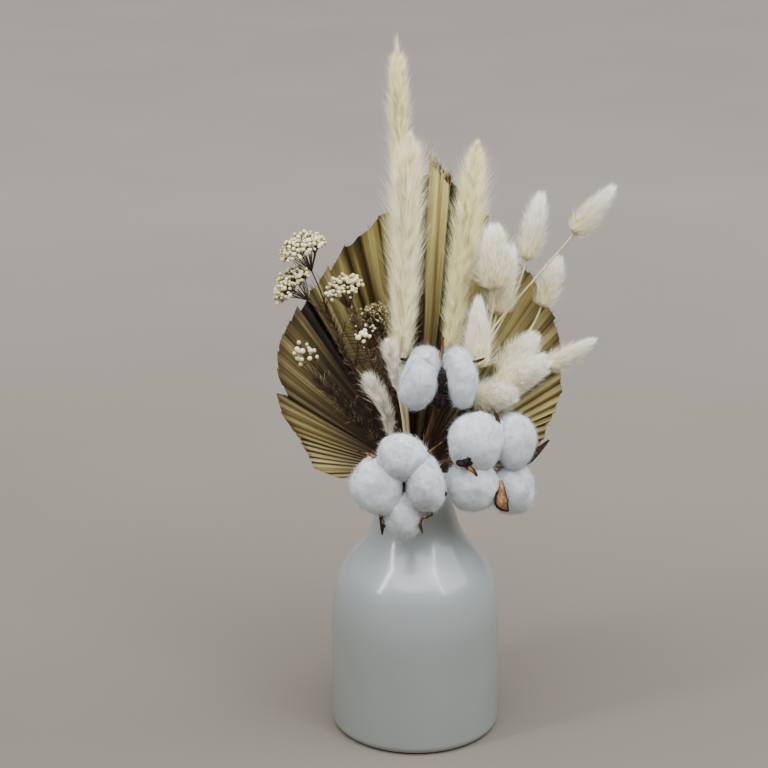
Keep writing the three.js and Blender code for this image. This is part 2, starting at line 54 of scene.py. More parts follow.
TAIL_SEED = 50
WHITE = (255, 255, 255)
STRAW = ((196, 180, 128), (240, 228, 184))

# The photo's camera: how far it stands from its aim, how far it looks down, and its lens.
CAMERA_AIM = (-18.0, 0.0, 204.0)
CAMERA_DISTANCE = 1100.0
CAMERA_PITCH = 17.7
CAMERA_SENSOR = 36.0
CAMERA_LENS = 93.28
# In metres: how far the floor reaches, and where the soft lights stand and how high they aim.
FLOOR_REACH = 200.0
LIGHT_DISTANCE = 1.5
LIGHT_AIM = 0.15
# The soft lights' colour, how many degrees of the sky the overhead light fills, and the sky's strength.
WINDOW_LIGHT = (0.9, 0.95, 1.0)
OVERHEAD_SPREAD = 70
SKY_STRENGTH = 0.8
# Each soft light's azimuth and elevation in degrees, its width and height in metres, and its power.
SOFTBOXES = {
    "front_left": (-58, 45, 0.12, 1.36, 12),
    "front_right": (67, 45, 1.4, 1.25, 18),
    "front_streak": (44, 47, 0.06, 1.2, 4),
    "front_top": (4, 54, 1.7, 1.0, 7),
}

VASE_RADIUS = 48.0
VASE_HEIGHT = 146.0
VASE_NECK_RADIUS = 17.0
VASE_WALL = 3.5
VASE_FLOOR = 5.0
VASE_FOOT_ROUNDING = 5.0
VASE_SIDES = 128
# The vase's shoulder from the straight body up to just below the lip, as radius and height.
VASE_SHOULDER = [
    (48, 60), (47.3, 73), (45.4, 86), (42.2, 95), (37.2, 102.5), (32.2, 108.5), (28, 114.5),
    (24.8, 121), (21.8, 130), (18.2, 140), (17, 144.5),
]

# Stems stand this far off the vase's floor, in slots of their own in its neck.
SEAT_GAP = 0.3
NECK_LEVEL = VASE_HEIGHT - 4
FOOT_SPREAD = 1.5
PALM_STALK_RADIUS = 2.6
PLUME_STEM_RADIUS = 0.9
TAIL_STEM_RADIUS = 0.6
RICE_STEM_RADIUS = 0.8
COTTON_STEM_RADIUS = 1.6

# The radii of the rice flower's finer parts, and of the hairs and fibres at their roots.
FORK_RADIUS = 0.45
KNOT_STALK_RADIUS = 0.28
BUD_STALK_RADIUS = 0.17
TWIG_RADIUS = 0.4
TWIG_BUD_STALK_RADIUS = 0.15
CHAFF_RADIUS = 0.25
LONG_LEAF_RADIUS = 0.3
SPEAR_FIBRE_RADIUS = 0.5
SPLIT_END_RADIUS = 0.22
HAIR_RADIUS = 0.11
SPIKE_RADIUS = 0.08
DOWN_RADIUS = 0.065
TIP_WISP_RADIUS = 0.07
HUSK_RADIUS = 0.4
NEEDLE_RADIUS = 0.14
FUZZ_RADIUS = 0.075
WISP_RADIUS = 0.045

PALM_HUB = np.array([-1.0, 6.0, 151.0])
PALM_ROWS = 14
PALM_COLUMNS = 11
PALM_INNER_RADIUS = 6.0
PALM_LEAN = 0.16
PALM_CUPPING = 0.0012
PALM_THICKNESS = 0.45
# The half sizes of the knot at the hub, where the stalk ends.
PALM_KNOT = (8.5, 3.2, 8)

# The tables of the leaf give a value at an angle in degrees, from its left edge over its top to its right.
# How many degrees a pleat takes up: the two lower lobes are pleated finely.
PALM_PLEAT_STEPS = [
    (187, 2.9), (150, 3.2), (138, 4.8), (128, 4.2), (125, 2.8), (121, 2.8), (116, 4.8), (42, 4.8),
    (30, 3.0), (-5, 2.7),
]
# How steeply the faces are folded.
PALM_FOLDS = [
    (187, 0.34), (160, 0.24), (150, 0.2), (128, 0.22), (122, 0.5), (112, 0.3), (106, 0.9), (85, 1.0),
    (70, 0.5), (45, 0.5), (30, 1.0), (5, 1.3), (-5, 1.3),
]
# The trimmed margin: its reach from the hub.
PALM_MARGIN = [
    (187, 42), (180, 56), (173, 61), (167, 67), (158, 80), (152.2, 88), (151.7, 82.5), (150.4, 83.5),
    (146.5, 91.5), (142, 98), (138, 103), (126, 110), (114, 122), (105, 133), (96, 146), (87, 164),
    (83, 162), (76, 148), (63, 131), (50, 120), (38, 105), (27, 93), (15, 77), (2, 66), (-5, 56),
]
# How light the leaf is: two lobes are pale, and between them it is browner, partly with painted shade. The
# near-black dips at about 123 and 81 degrees are painted shadow: the shadowed wedge between the lobes, and
# the leaf in the spear's shadow.
PALM_TONES_AND_SHADE = [
    (187, 0.50), (171, 0.42), (163, 0.37), (156, 0.37), (150, 0.29), (134, 0.36), (129, 0.30),
    (126, 0.24), (124.5, 0.06), (122.5, 0.02), (120.5, 0.48), (112, 0.56), (107, 0.43), (99, 0.70),
    (95, 0.42), (91, 0.14), (85, 0.16), (82.5, 0.0), (79.5, 0.02), (78, 0.5), (70, 0.50), (45, 0.46),
    (20, 0.54), (-5, 0.5),
]
# Deep valleys: how much deeper than the others, and how many degrees wide they are.
PALM_DEEP_VALLEYS = [
    (176, 2), (167, 2), (151, 3), (136, 1), (123.5, 6), (107, 4), (102, 3), (97, 3), (91, 5), (81, 6),
    (62, 2.5), (34, 3), (20, 2),
]
VALLEY_WIDTH = 1.6
# The small grass heads shade the leaf about this angle, out to this share of its reach.
SHADE_ANGLE = 134
SHADE_WIDTH = 8
SHADE_DEPTH = 0.26
SHADE_REACH = 0.88
SPLIT_ENDS = 260
LONG_ENDS_ANGLE = 117

# The spear, the leaf's middle folds that are still closed: its reach and slanted top, its width and the
# share of it that the foot has, how far along its left and right side are widest, how far it bows to
# the right, stands in front of the leaf and bends back at its sides, and how deep and how light its
# lengthwise ribs are.
SPEAR_ANGLE = 85.5
SPEAR_REACH = 178.5
SPEAR_SLANT = 13.0
SPEAR_CUT = 4.0
SPEAR_WIDTH = 11.8
SPEAR_FOOT = 0.12
SPEAR_WIDEST = (0.6, 0.86)
SPEAR_BOW = 6.8
SPEAR_FORWARD = 4.6
SPEAR_ROUNDING = 2.2
SPEAR_RIB_DEPTH = 0.6
SPEAR_ROWS = 26
SPEAR_FIBRES = 300
SPEAR_RIBS = [0.35, 1.0, 0.84, 0.88, 0.82, 0.55, 0.48, 0.8, 0.92, 0.86, 1.0, 0.1]

# Plumes: the stem's slot in the neck, the core's line, the widest half width, the tufts with their
# opening angles and how loose they are, the core's share of the width, the number of the finest
# hairs, and how long those at the tip are.
PLUMES = {
    "plume_tall": dict(
        slot=(-3.4, 0.6), line=[(-9, 12, 249), (-9, 16, 304), (-10, 19, 348), (-11, 21, 382)],
        half_width=5.8, tufts=190, openings=(11, 20), looseness=0.9, core=0.4, down=2500,
        wisp=(7, 18), seed=11,
    ),
    "plume_broad": dict(
        slot=(-5, -2.4), line=[(-8, -4, 218), (-7, -3, 253), (-6, 0, 297), (-4.2, 3, 342)],
        half_width=9.6, tufts=250, openings=(13, 26), looseness=1.3, core=0.4, down=2400,
        wisp=(3, 8), seed=12,
    ),
    "plume_right": dict(
        slot=(3.4, 1.4), line=[(18, 2, 219), (22, 5, 251), (27, 8, 289), (32.4, 12, 336)],
        half_width=8.4, tufts=220, openings=(13, 26), looseness=1.3, core=0.4, down=2400,
        wisp=(3, 8), seed=13,
    ),
    "plume_small_left": dict(
        slot=(-7.5, -4.5), line=[(-14, -10, 177), (-16.5, -10, 190), (-22, -9, 201.5), (-27.5, -8, 211)],
        half_width=4.6, tufts=17, openings=(14, 46), looseness=1.9, core=0.1, down=700,
        wisp=(3, 6), seed=14,
    ),
    "plume_small_back": dict(
        slot=(-5.6, -6.6), line=[(-10, -14, 204), (-12, -13, 214), (-14, -12, 224), (-16, -12, 232)],
        half_width=4.2, tufts=12, openings=(20, 46), looseness=1.2, core=0.12, down=600,
        wisp=(3, 6), seed=15,
    ),
}
HAIRS_PER_TUFT = 40
FINE_HAIRS_PER_TUFT = 12
TIP_WISPS = 50

# Bunny tails: slot in the neck, where the head starts and ends, its half width, and how pointed it is
# from 0 to 1.
BUNNY_TAILS = [
    ((6.2, -1), (42, -5, 259), (41, -7, 297), 9.8, 0.25),
    ((5.4, 2.2), (44, 8, 241), (52, 10, 281), 7.6, 0.3),
    ((7, 4.2), (60, 14, 270), (68, 17, 309), 5.8, 0.0),
    ((9, -0.6), (84, -2, 289), (105, -6, 317), 5.8, 0.5),
    ((9, 3), (69, 14, 244), (79, 17, 273), 6, 0.2),
    ((5.4, -3.2), (33, -13, 217), (33, -12, 258), 8.4, 0.9),
    ((7.4, 1.4), (46, 1, 209), (67, 3, 233), 7.8, 0.2),
    ((10, -2.6), (43, -11, 205), (73, -15, 224), 9, 0.2),
    ((10.2, 1), (72, -2, 214), (98, -6, 232), 5.3, 0.9),
    ((9.8, -5.6), (31, -18, 203), (55, -27, 206), 8.2, 0.1),
]
TAIL_HAIRS = 3400
TAIL_SPIKES = 900
HUSK_POINTS = 5
HUSK_LENGTH = 5.0
HUSK_OPENING = 0.6

# Rice flower: each head branches off at a share of the stem's line, and has a centre, its half sizes
# across and along its way, a number of buds, their radius and how much lighter than others they are.
RICE_FLOWERS = {
    "rice_flower_upper": dict(
        slot=(-9.6, 2.4), line=[(-22, 3, 185), (-38, 4, 217), (-51, 5, 250)],
        heads=[
            (0.95, (-62, 6, 279), (12.5, 10), 175, 1.05, 0.0),
            (0.8, (-68, 3, 260), (12, 9.5), 155, 0.98, -0.1),
        ],
        leaves=560, freshness=5, twigs=6, twig_buds=0, long_leaves=0, seed=31,
    ),
    "rice_flower_middle": dict(
        slot=(-8, -0.4), line=[(-16, 1, 185), (-25, 2, 213), (-35, 4, 240)],
        heads=[
            (0.95, (-40, 4, 257.5), (9.5, 9), 125, 1.05, 0.0),
            (0.7, (-22, 5, 242), (6.5, 9), 110, 0.5, -0.4),
            (0.6, (-29, -3, 232), (3.4, 4.5), 7, 1.45, 0.1),
        ],
        leaves=760, freshness=1.0, twigs=36, twig_buds=4, long_leaves=9, seed=32,
    ),
    "rice_flower_lower": dict(
        slot=(-11, -0.6), line=[(-20, 2, 168), (-38, 4, 186), (-56, 7, 205)],
        heads=[(0.95, (-61, 7, 217), (6.2, 12), 16, 1.4, 0.05)],
        leaves=760, freshness=5, twigs=12, twig_buds=0, long_leaves=0, seed=33,
    ),
}
LEAVES_PER_TWIG = 34
CHAFF_LENGTH = 1.9
# How long the needle leaves are, and how many degrees they open from the stem or the twig.
STEM_LEAF_LENGTHS = (3, 8)
STEM_LEAF_OPENINGS = (12, 70)
TWIG_LEAF_LENGTHS = (2.5, 6)
TWIG_LEAF_OPENINGS = (15, 75)

# Cotton bolls. A lock is its place across, up and out from the boll's centre, its three sizes, and how
# many degrees its top leans to the right. A valve of the burr is the points that it passes through
# after the cup, in the same three directions, its half widths from the cup to its tip, and how much
# lighter it is than the others. A seed is a dark lump, a place and its half sizes.
BOLLS = {
    "top": dict(
        centre=(12, -25, 215), facing=(0.06, -1, 0.15), depth=9, cup_level=-9, seed=41,
        slot=(1.2, -4), arriving=(0.1, -0.35, 1), bend=0.4,
        locks=[
            ((-11.8, -1.5, 1), (21.5, 31.5, 24), 7),
            ((12.2, -1, 1), (18.5, 33, 24), -5),
            ((-7.4, 8.8, -3), (18, 19, 20), 0),
            ((9.4, 7.6, -4), (17, 18.5, 20), 0),
        ],
        valves=[
            ([(1, 7, -5), (0.6, 12, -1), (2.4, 23, 0)], [2, 1.4, 1.1, 0.2], 0.1),
            ([(9, 4, -7), (15, 9, 0), (19, 9.5, 3), (24, 11, 2)], [2, 1.2, 1, 0.5], 0.1),
            ([(-9, 4, -8), (-16, 9, -6), (-21, 11, -2)], [2, 1.6, 1.2, 0.5], -0.1),
            ([(0, -11, -6), (0, -14, -3), (-0.6, -16, -1)], [4, 3.6, 2.4, 0.3], -0.3),
        ],
        seeds=[((1.6, -2, -1), (3.4, 8, 5)), ((0.2, -10.5, 0), (5, 6, 4.5))],
    ),
    "front": dict(
        centre=(-7, -48, 162), facing=(-0.12, -1, -0.05), depth=12, cup_level=0, seed=42,
        slot=(-2.4, -8.4), arriving=(-0.1, -1, 0.25), bend=0.5,
        locks=[
            ((-1.5, 17, 0), (28, 26, 25), 12),
            ((-14.7, -0.5, 0), (31, 33, 28), -12),
            ((11, 2, 0), (22.6, 34.5, 26), -10),
            ((-1, -17.5, 0), (21.5, 28.5, 24), 0),
        ],
        valves=[
            ([(6, 9, -11), (10, 17, -5), (13, 20.8, 0), (20.8, 28.2, 4)], [3.4, 2, 1.2, 0.9, 0.25], 0.3),
            ([(-9, 9, -11), (-14.5, 16, 0), (-19, 18.6, 1), (-25, 18.8, 0)], [3, 2.2, 1.5, 1.1, 0.3], 0.2),
            ([(-6, -9, -11), (-12.4, -16.5, 0), (-11.9, -21, 3), (-11.8, -27.6, 4)],
             [3, 2.6, 1.7, 1.4, 0.3], -0.1),
            ([(-6, -9, -11), (-12.4, -17, 0), (-11.7, -21.6, 3), (-9.2, -23.8, 4)],
             [2, 1.4, 1, 0.8, 0.3], -0.1),
            ([(7, -8, -11), (14, -16.4, -3), (10.4, -16.6, 3), (9.2, -18.6, 5), (10.5, -24.6, 6.5)],
             [3, 2, 2, 2.5, 2.1, 0.3], 0.25),
            ([(10, -3, -10), (19, -3.6, -4), (22.6, -3, 1.5)], [2.4, 2, 2, 1.4], 0.1),
        ],
        seeds=[((-0.3, 1.5, 1.5), (1.3, 3.8, 3.2))],
    ),
    "right": dict(
        centre=(42, -29, 168), facing=(0.42, -1, -0.02), depth=12, cup_level=0, seed=43,
        slot=(3.2, -9.4), arriving=(0.75, -0.65, 0.3), bend=0.5,
        locks=[
            ((-11.5, 14, 0), (34, 34, 28), 8),
            ((-13, -11, 0), (32, 30, 27), 0),
            ((11.5, 11.5, 0), (25.5, 33, 26), 0),
            ((11.5, -16.5, 0), (27, 31, 25), 0),
        ],
        valves=[
            ([(-1, 14, -6), (0, 24, 3), (-3.5, 33, 5)], [2.4, 1.8, 1.5, 0.2], 0),
            ([(10, -1, -9), (17, -0.5, 0), (21, 3, 4), (30, 11.5, 6)], [3, 2.8, 3, 0.5], -0.2),
            ([(1.5, -6, -2), (0.8, -10, 7.6), (-1.6, -17.6, 13.8), (2.2, -22.8, 15)],
             [0.6, 0.6, 1.2, 3.9, 0.2], 0.1),
            # A darker copy of the bract just behind it shows along its lower-left edge: the bract's dark
            # brown edge, with painted shade under it.
            ([(1.5, -6, -2), (0.4, -10.4, 6.6), (-2.2, -18.1, 13), (2, -23.5, 14)],
             [0.6, 0.6, 1.2, 3.7, 0.2], -0.6),
            ([(-20, 4, 6), (-19.6, 4, 11), (-18.6, 3, 13.6), (-17, 0.2, 14.5)], [1.2, 1.5, 1.4, 0.5], 0.1),
        ],
        seeds=[
            ((-23.6, 6, 7.4), (2.6, 1.6, 3)), ((-21, 7.2, 8.3), (2.2, 1.9, 2.4)),
            ((-19, 6.2, 8.6), (1.8, 1.5, 2)), ((-21.6, 5.2, 8), (2.4, 1.4, 2.6)),
            ((-19.8, 8.8, 9), (1.5, 1.3, 1.6)),
        ],
    ),
}
# The cup of a burr, and the ribs all round it.
CUP_RADIUS = 7
CUP_RIBS = 5
CUP_RIB_DEPTH = 0.06
# Near another lock a lock swells by up to this, within this share of the other's half width.
SEAM_SWELLING = 1.1
SEAM_REACH = 0.22
# The fuzz makes up this much of a lock's sizes, and grows where no other lock is nearer than this.
FUZZ_DEPTH = 1.8
OPEN_LEVEL = 0.94
FUZZ_PER_LOCK = 4700
WISPS_PER_LOCK = 620
# How long the fibres are, and how steeply they rise from the lock.
FUZZ_LENGTHS = (1.2, 2.8)
FUZZ_RISE = (0.1, 0.85)
WISP_LENGTHS = (3, 6.5)
WISP_RISE = (0.2, 0.8)


# Geometry

def lengths_of(vectors):
    return np.linalg.norm(vectors, axis=-1)


def unit(vectors):
    return vectors / lengths_of(vectors)[..., None]


def filled(value, shape):
    return np.broadcast_to(np.asarray(value, float), shape)


def quads(*corners):
    """Four-sided faces, given as the numbers of their four corners, as triangles."""
    a, b, c, d = map(np.ravel, corners)
    return np.concatenate([np.stack([a, b, c], axis=1), np.stack([a, c, d], axis=1)])


def beside(ways, helper=None):
    """Two directions square to each way and to each other, the first also square to the helper."""
    if helper is None:
        helper = np.where(np.abs(ways[:, 2:]) < 0.9, UP, RIGHT)
    side = unit(np.cross(ways, helper))
    return side, np.cross(ways, side)


def around(across, side, turns):
    """The directions at these turns from across towards side."""
    return across * np.cos(turns)[:, None] + side * np.sin(turns)[:, None]


def in_scene(name, data):
    """A new object in the scene."""
    made = bpy.data.objects.new(name, data)
    bpy.context.scene.collection.objects.link(made)
    return made


class Bodies:
    """Closed bodies gathered into one mesh, with a tone from 0 to 1 at each point."""

    def __init__(self):
        self.points, self.triangles, self.tones, self.looks = [], [], [], []
        self.count = 0

    def add(self, points, triangles, tone=0.5, look=0):
        points = np.asarray(points, float).reshape(-1, 3)
        triangles = np.asarray(triangles, int).reshape(-1, 3)
        self.points.append(points)
        self.triangles.append(triangles + self.count)
        self.tones.append(filled(tone, len(points)))
        self.looks.append(np.full(len(triangles), look))
        self.count += len(points)

    def piece(self, name, node, materials, smooth=True):
        """The mesh as a piece that rides on the root body and stands for a CAD node."""
        triangles = np.concatenate(self.triangles)
        mesh = bpy.data.meshes.new(name)
        mesh.vertices.add(self.count)
        mesh.vertices.foreach_set("co", (np.concatenate(self.points) * MM).ravel())
        mesh.loops.add(triangles.size)
        mesh.loops.foreach_set("vertex_index", triangles.ravel())
        mesh.polygons.add(len(triangles))
        mesh.polygons.foreach_set("loop_start", np.arange(0, triangles.size, 3))
        mesh.polygons.foreach_set("material_index", np.concatenate(self.looks))
        mesh.polygons.foreach_set("use_smooth", np.full(len(triangles), smooth))
        mesh.update(calc_edges=True)
        tone = mesh.attributes.new("tone", "FLOAT", "POINT")
        tone.data.foreach_set("value", np.concatenate(self.tones))
        for each in materials:
            mesh.materials.append(each)
        made = in_scene(name, mesh)
        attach(made, "root")
        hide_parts(node)


def smooth_line(points, count, even=False):
    """Points along a Catmull-Rom curve through the given ones: centripetal, or plain if even."""
    points = np.asarray(points, float)
    if even:
        ends = np.array([points[0], *points, points[-1]])
        gaps = np.ones(len(ends) - 1)
    else:
        ends = np.array([2 * points[0] - points[1], *points, 2 * points[-1] - points[-2]])
        gaps = lengths_of(np.diff(ends, axis=0)) ** 0.5
    line = []
    for place in np.linspace(0, len(points) - 1, count):
        i = min(int(place), len(points) - 2)
        t = place - i
        a, b, c, d = ends[i:i + 4]
        before, between, after = gaps[i:i + 3]
        leave = between * ((b - a) / before - (c - a) / (before + between) + (c - b) / between)
        arrive = between * ((c - b) / between - (d - b) / (between + after) + (d - c) / after)
        line.append(
            (2 * t**3 - 3 * t**2 + 1) * b + (t**3 - 2 * t**2 + t) * leave
            + (3 * t**2 - 2 * t**3) * c + (t**3 - t**2) * arrive
        )
    return np.array(line)


def along_line(line, shares):
    """The points at these shares of a line."""
    places = np.asarray(shares) * (len(line) - 1)
    whole = np.arange(len(line))
    return np.stack([np.interp(places, whole, line[:, axis]) for axis in range(3)], axis=-1)


def stem_route(slot, reach, arriving, bend=0.4, count=22):
    """A stem's line from the vase's floor through the neck at its slot, in one bend to its reach."""
    neck = np.array([*slot, NECK_LEVEL])
    foot = np.array([slot[0] * FOOT_SPREAD, slot[1] * FOOT_SPREAD, VASE_FLOOR + SEAT_GAP])
    pull = lengths_of(reach - neck) * bend
    hold = neck + UP * pull
    lead = reach - arriving * pull
    t = np.linspace(0, 1, count)[:, None]
    rise = (1 - t)**3 * neck + 3 * (1 - t)**2 * t * hold + 3 * (1 - t) * t**2 * lead + t**3 * reach
    return np.vstack([foot, rise])


def frames_along(points, first=None):
    """Directions along a line, across it and square to both, carried along without twisting."""
    along = unit(np.gradient(points, axis=0))
    if first is None:
        first = np.cross(UP if abs(along[0, 2]) < 0.9 else RIGHT, along[0])
    across = []
    for each in along:
        first = unit(first - each * (first @ each))
        across.append(first)
    return along, np.array(across), np.cross(across, along)


def sprout(line, shares, turns):
    """At these shares of a line: the points, the ways along it, and those out from it at the turns."""
    along, across, side = frames_along(line)
    outward = around(along_line(across, shares), along_line(side, shares), turns)
    return along_line(line, shares), unit(along_line(along, shares)), outward


def leaning(along, outward, opening):
    """Directions at an opening angle from along, on the side of it that outward is on."""
    across = unit(outward - along * np.sum(outward * along, axis=-1, keepdims=True))
    opening = np.asarray(opening)[..., None]
    return along * np.cos(opening) + across * np.sin(opening)


def add_tube(bodies, points, radii, sides, tone=0.5, look=0):
    """A round limb along a line, closed at both ends."""
    points = np.asarray(points, float)
    rings = len(points)
    _, across, side = frames_along(points)
    rounds = around(across[:, None], side[:, None], np.arange(sides) * FULL_TURN / sides)
    wall = points[:, None] + filled(radii, rings)[:, None, None] * rounds
    index = np.arange(rings * sides).reshape(rings, sides)
    ahead = np.roll(index, -1, axis=1)
    fan = np.arange(1, sides - 1)
    start = np.stack([0 * fan, fan, fan + 1], axis=1)
    end = (rings - 1) * sides + start[:, ::-1]
    triangles = np.concatenate([quads(index[:-1], index[1:], ahead[1:], ahead[:-1]), start, end])
    bodies.add(wall, triangles, np.repeat(filled(tone, rings), sides), look)


def add_slab(bodies, middle, skin, tones):
    """A thin closed body from a grid of points, with a skin of this thickness on both its sides."""
    rows, columns = middle.shape[:2]
    behind = rows * columns
    index = np.arange(behind).reshape(rows, columns)
    sheet = quads(index[:-1, :-1], index[1:, :-1], index[1:, 1:], index[:-1, 1:])
    rim = np.concatenate([index[:, 0], index[-1, 1:], index[-2::-1, -1], index[0, -2:0:-1]])
    ahead = np.roll(rim, -1)
    edge = quads(ahead, rim, rim + behind, ahead + behind)
    triangles = np.concatenate([sheet, sheet[:, ::-1] + behind, edge])
    points = np.stack([middle - skin, middle + skin]).reshape(-1, 3)
    corners = points[triangles]
    if np.sum(corners[:, 0] * np.cross(corners[:, 1], corners[:, 2])) < 0:
        triangles = triangles[:, ::-1]
    bodies.add(points, triangles, np.tile(filled(tones, (rows, columns)).ravel(), 2))


def add_hairs(bodies, roots, directions, lengths, radii, curl, rings, tones, look=0):
    """Tapered three-sided hairs. Each starts along its direction and bends by its curl, a vector."""
    count = len(roots)
    lengths, radii = filled(lengths, count)[:, None], filled(radii, count)[:, None]
    side, other = beside(directions)
    points, shades = [], []
    for ring in range(rings):
        t = ring / rings
        middle = roots + directions * lengths * t + curl * lengths * t * t
        for turn in (0, FULL_TURN / 3, 2 * FULL_TURN / 3):
            offset = side * math.cos(turn) + other * math.sin(turn)
            points.append(middle + offset * radii * (1 - 0.5 * t))
            shades.append(tones[0] * (1 - t) + tones[1] * t)
    points.append(roots + (directions + curl) * lengths)
    shades.append(tones[1])
    tip = 3 * rings
    template = [(0, 2, 1)]
    for corner, following in ((0, 1), (1, 2), (2, 0)):
        for ring in range(0, tip - 3, 3):
            a, b = ring + corner, ring + following
            template += [(a, b, b + 3), (a, b + 3, a + 3)]
        template.append((tip - 3 + corner, tip - 3 + following, tip))
    triangles = np.array(template) + (np.arange(count) * (tip + 1))[:, None, None]
    shades = np.stack([filled(each, count) for each in shades], axis=1)
    bodies.add(np.stack(points, axis=1), triangles, shades.ravel(), look)


def drawn_together(wall, start, end):
    """A closed body from rings of points, each end of it drawn together in one point."""
    rings, sides = wall.shape[:2]
    index = 1 + np.arange(rings * sides).reshape(rings, sides)
    ahead = np.roll(index, -1, axis=1)
    triangles = np.concatenate([
        quads(index[:-1], index[1:], ahead[1:], ahead[:-1]),
        np.stack([0 * index[0], index[0], ahead[0]], axis=1),
        np.stack([0 * index[0] + rings * sides + 1, ahead[-1], index[-1]], axis=1),
    ])
    return np.vstack([start, wall.reshape(-1, 3), end]), triangles


def ball(segments, rings):
    """A closed round ball of radius 1 with its poles on Z, as points and triangles."""
    tilts = math.pi * np.arange(1, rings)[:, None, None] / rings
    turns = np.arange(segments) * FULL_TURN / segments
    wall = np.sin(tilts) * around(RIGHT, BACK, turns) + np.cos(tilts) * UP
    return drawn_together(wall, (0, 0, 1), (0, 0, -1))


def add_balls(bodies, centres, axes, radii, shades, stretch):
    """Small balls, each with its pole along its axis. Its tone rises from its foot to its top, and is
    shifted by its own shade."""
    points, triangles = ball(8, 6)
    side, other = beside(axes)
    placed = centres[:, None] + radii[:, None, None] * (
        side[:, None] * points[:, :1] + other[:, None] * points[:, 1:2]
        + stretch * axes[:, None] * points[:, 2:]
    )
    many = triangles + (np.arange(len(centres)) * len(points))[:, None, None]
    tones = shades[:, None] + 0.2 + 0.3 * (points[:, 2] + 1)
    bodies.add(placed, many, tones.ravel())


# Materials

# Between these heights or distances, in metres, one colour gives way to another.
# The painted sheen of the overhead light on the vase rises and falls between these heights.
SHEEN_RISE = (0.066, 0.098)
SHEEN_FALL = (0.124, 0.106)
BARE_FOOT = (0.0012, 0.003)
# Towards the palm leaf's hub, between these distances, it turns red-brown and darkens with painted shade.
HUB_BROWN_AND_SHADE = (0.042, 0.138)
# Below these heights the bunny tails' stems are darkened by painted shade.
STEM_SHADE_LEVELS = (0.195, 0.22)
# The floor's painted shade fades out between these distances back from the arrangement.
FLOOR_SHADE_FADE = (0.0, 1.4)


def linear(*colour):
    """A display colour from 0 to 255 as the shader's own."""
    shares = np.array(colour) / 255
    values = np.where(shares <= 0.04045, shares / 12.92, ((shares + 0.055) / 1.055) ** 2.4)
    return (*values, 1.0)


class Nodes:
    """The nodes of a material or a world, with short ways to add some and to link them."""

    def __init__(self, owner, shader):
        owner.use_nodes = True
        self.owner = owner
        self.tree = owner.node_tree
        self.inputs = self.tree.nodes[shader].inputs

    def add(self, kind, output, inputs, **settings):
        """The output of a new node with these settings, and with its inputs linked or set."""
        made = self.tree.nodes.new(f"ShaderNode{kind}")
        for name, value in settings.items():
            setattr(made, name, value)
        for name, value in inputs.items():
            if isinstance(value, bpy.types.NodeSocket):
                self.tree.links.new(value, made.inputs[name])
            else:
                made.inputs[name].default_value = value
        return made.outputs[output]

    def link(self, source, name):
        self.tree.links.new(source, self.inputs[name])

    def place(self, scale=(1, 1, 1), source=None):
        """The object's own coordinates in metres, or those of a source, stretched by scale."""
        source = source or self.add("TexCoord", "Object", {})
        return self.add("Mapping", "Vector", {"Vector": source, "Scale": scale})

    def axis(self, name, kind="Object"):
        return self.add("SeparateXYZ", name, {"Vector": self.add("TexCoord", kind, {})})

    def clouds(self, scale, detail=3.0, rough=0.55, at=None):
        sockets = {"Vector": at or self.place(), "Scale": scale, "Detail": detail, "Roughness": rough}
        return self.add("TexNoise", "Fac", sockets)

    def tone(self):
        return self.add("Attribute", "Fac", {}, attribute_name="tone")

    def ramp(self, factor, *stops):
        """Colours blended through stops, each a position and a display colour."""
        colour = self.add("ValToRGB", "Color", {"Fac": factor})
        elements = colour.node.color_ramp.elements
        while len(elements) < len(stops):
            elements.new(0.5)
        for element, (position, shade) in zip(elements, stops):
            element.position = position
            element.color = linear(*shade)
        return colour

    def blend(self, factor, first, second, kind="MIX"):
        sockets = {0: factor, 6: first, 7: second}
        return self.add("Mix", 2, sockets, data_type="RGBA", blend_type=kind)

    def stained(self, colour, strength, pattern, start, end, stain):
        """A colour that is multiplied by a stain where the pattern is low."""
        return self.blend(strength, colour, self.ramp(pattern, (start, stain), (end, WHITE)), "MULTIPLY")

    def mottled(self, pattern, strength):
        """The mesh's tone, lighter where the pattern is high and darker where it is low."""
        rest = self.maths("SUBTRACT", self.tone(), strength / 2)
        return self.maths("MULTIPLY_ADD", pattern, strength, rest)

    def maths(self, operation, *values):
        return self.add("Math", "Value", dict(enumerate(values)), operation=operation)

    def vectors(self, operation, output, *values):
        return self.add("VectorMath", output, dict(enumerate(values)), operation=operation)

    def between(self, value, start, end, low=0.0, high=1.0, **settings):
        """A value's way from start to end, as one from low to high."""
        sockets = {"Value": value, "From Min": start, "From Max": end, "To Min": low, "To Max": high}
        return self.add("MapRange", "Result", sockets, **settings)

    def finish(self, colour, height=None, strength=0.0, distance=0.0):
        """Links the colour, and a relief if there is one. It gives the finished material."""
        self.link(colour, "Base Color")
        if height:
            sockets = {"Height": height, "Strength": strength, "Distance": distance * MM}
            self.link(self.add("Bump", "Normal", sockets), "Normal")
        return self.owner


def surface(name, roughness, **sockets):
    """The nodes of a new material, with its shader's constant sockets set directly."""
    look = Nodes(bpy.data.materials.new(name), "Principled BSDF")
    look.inputs["Roughness"].default_value = roughness
    for socket, value in sockets.items():
        look.inputs[socket.replace("_", " ")].default_value = value
    return look


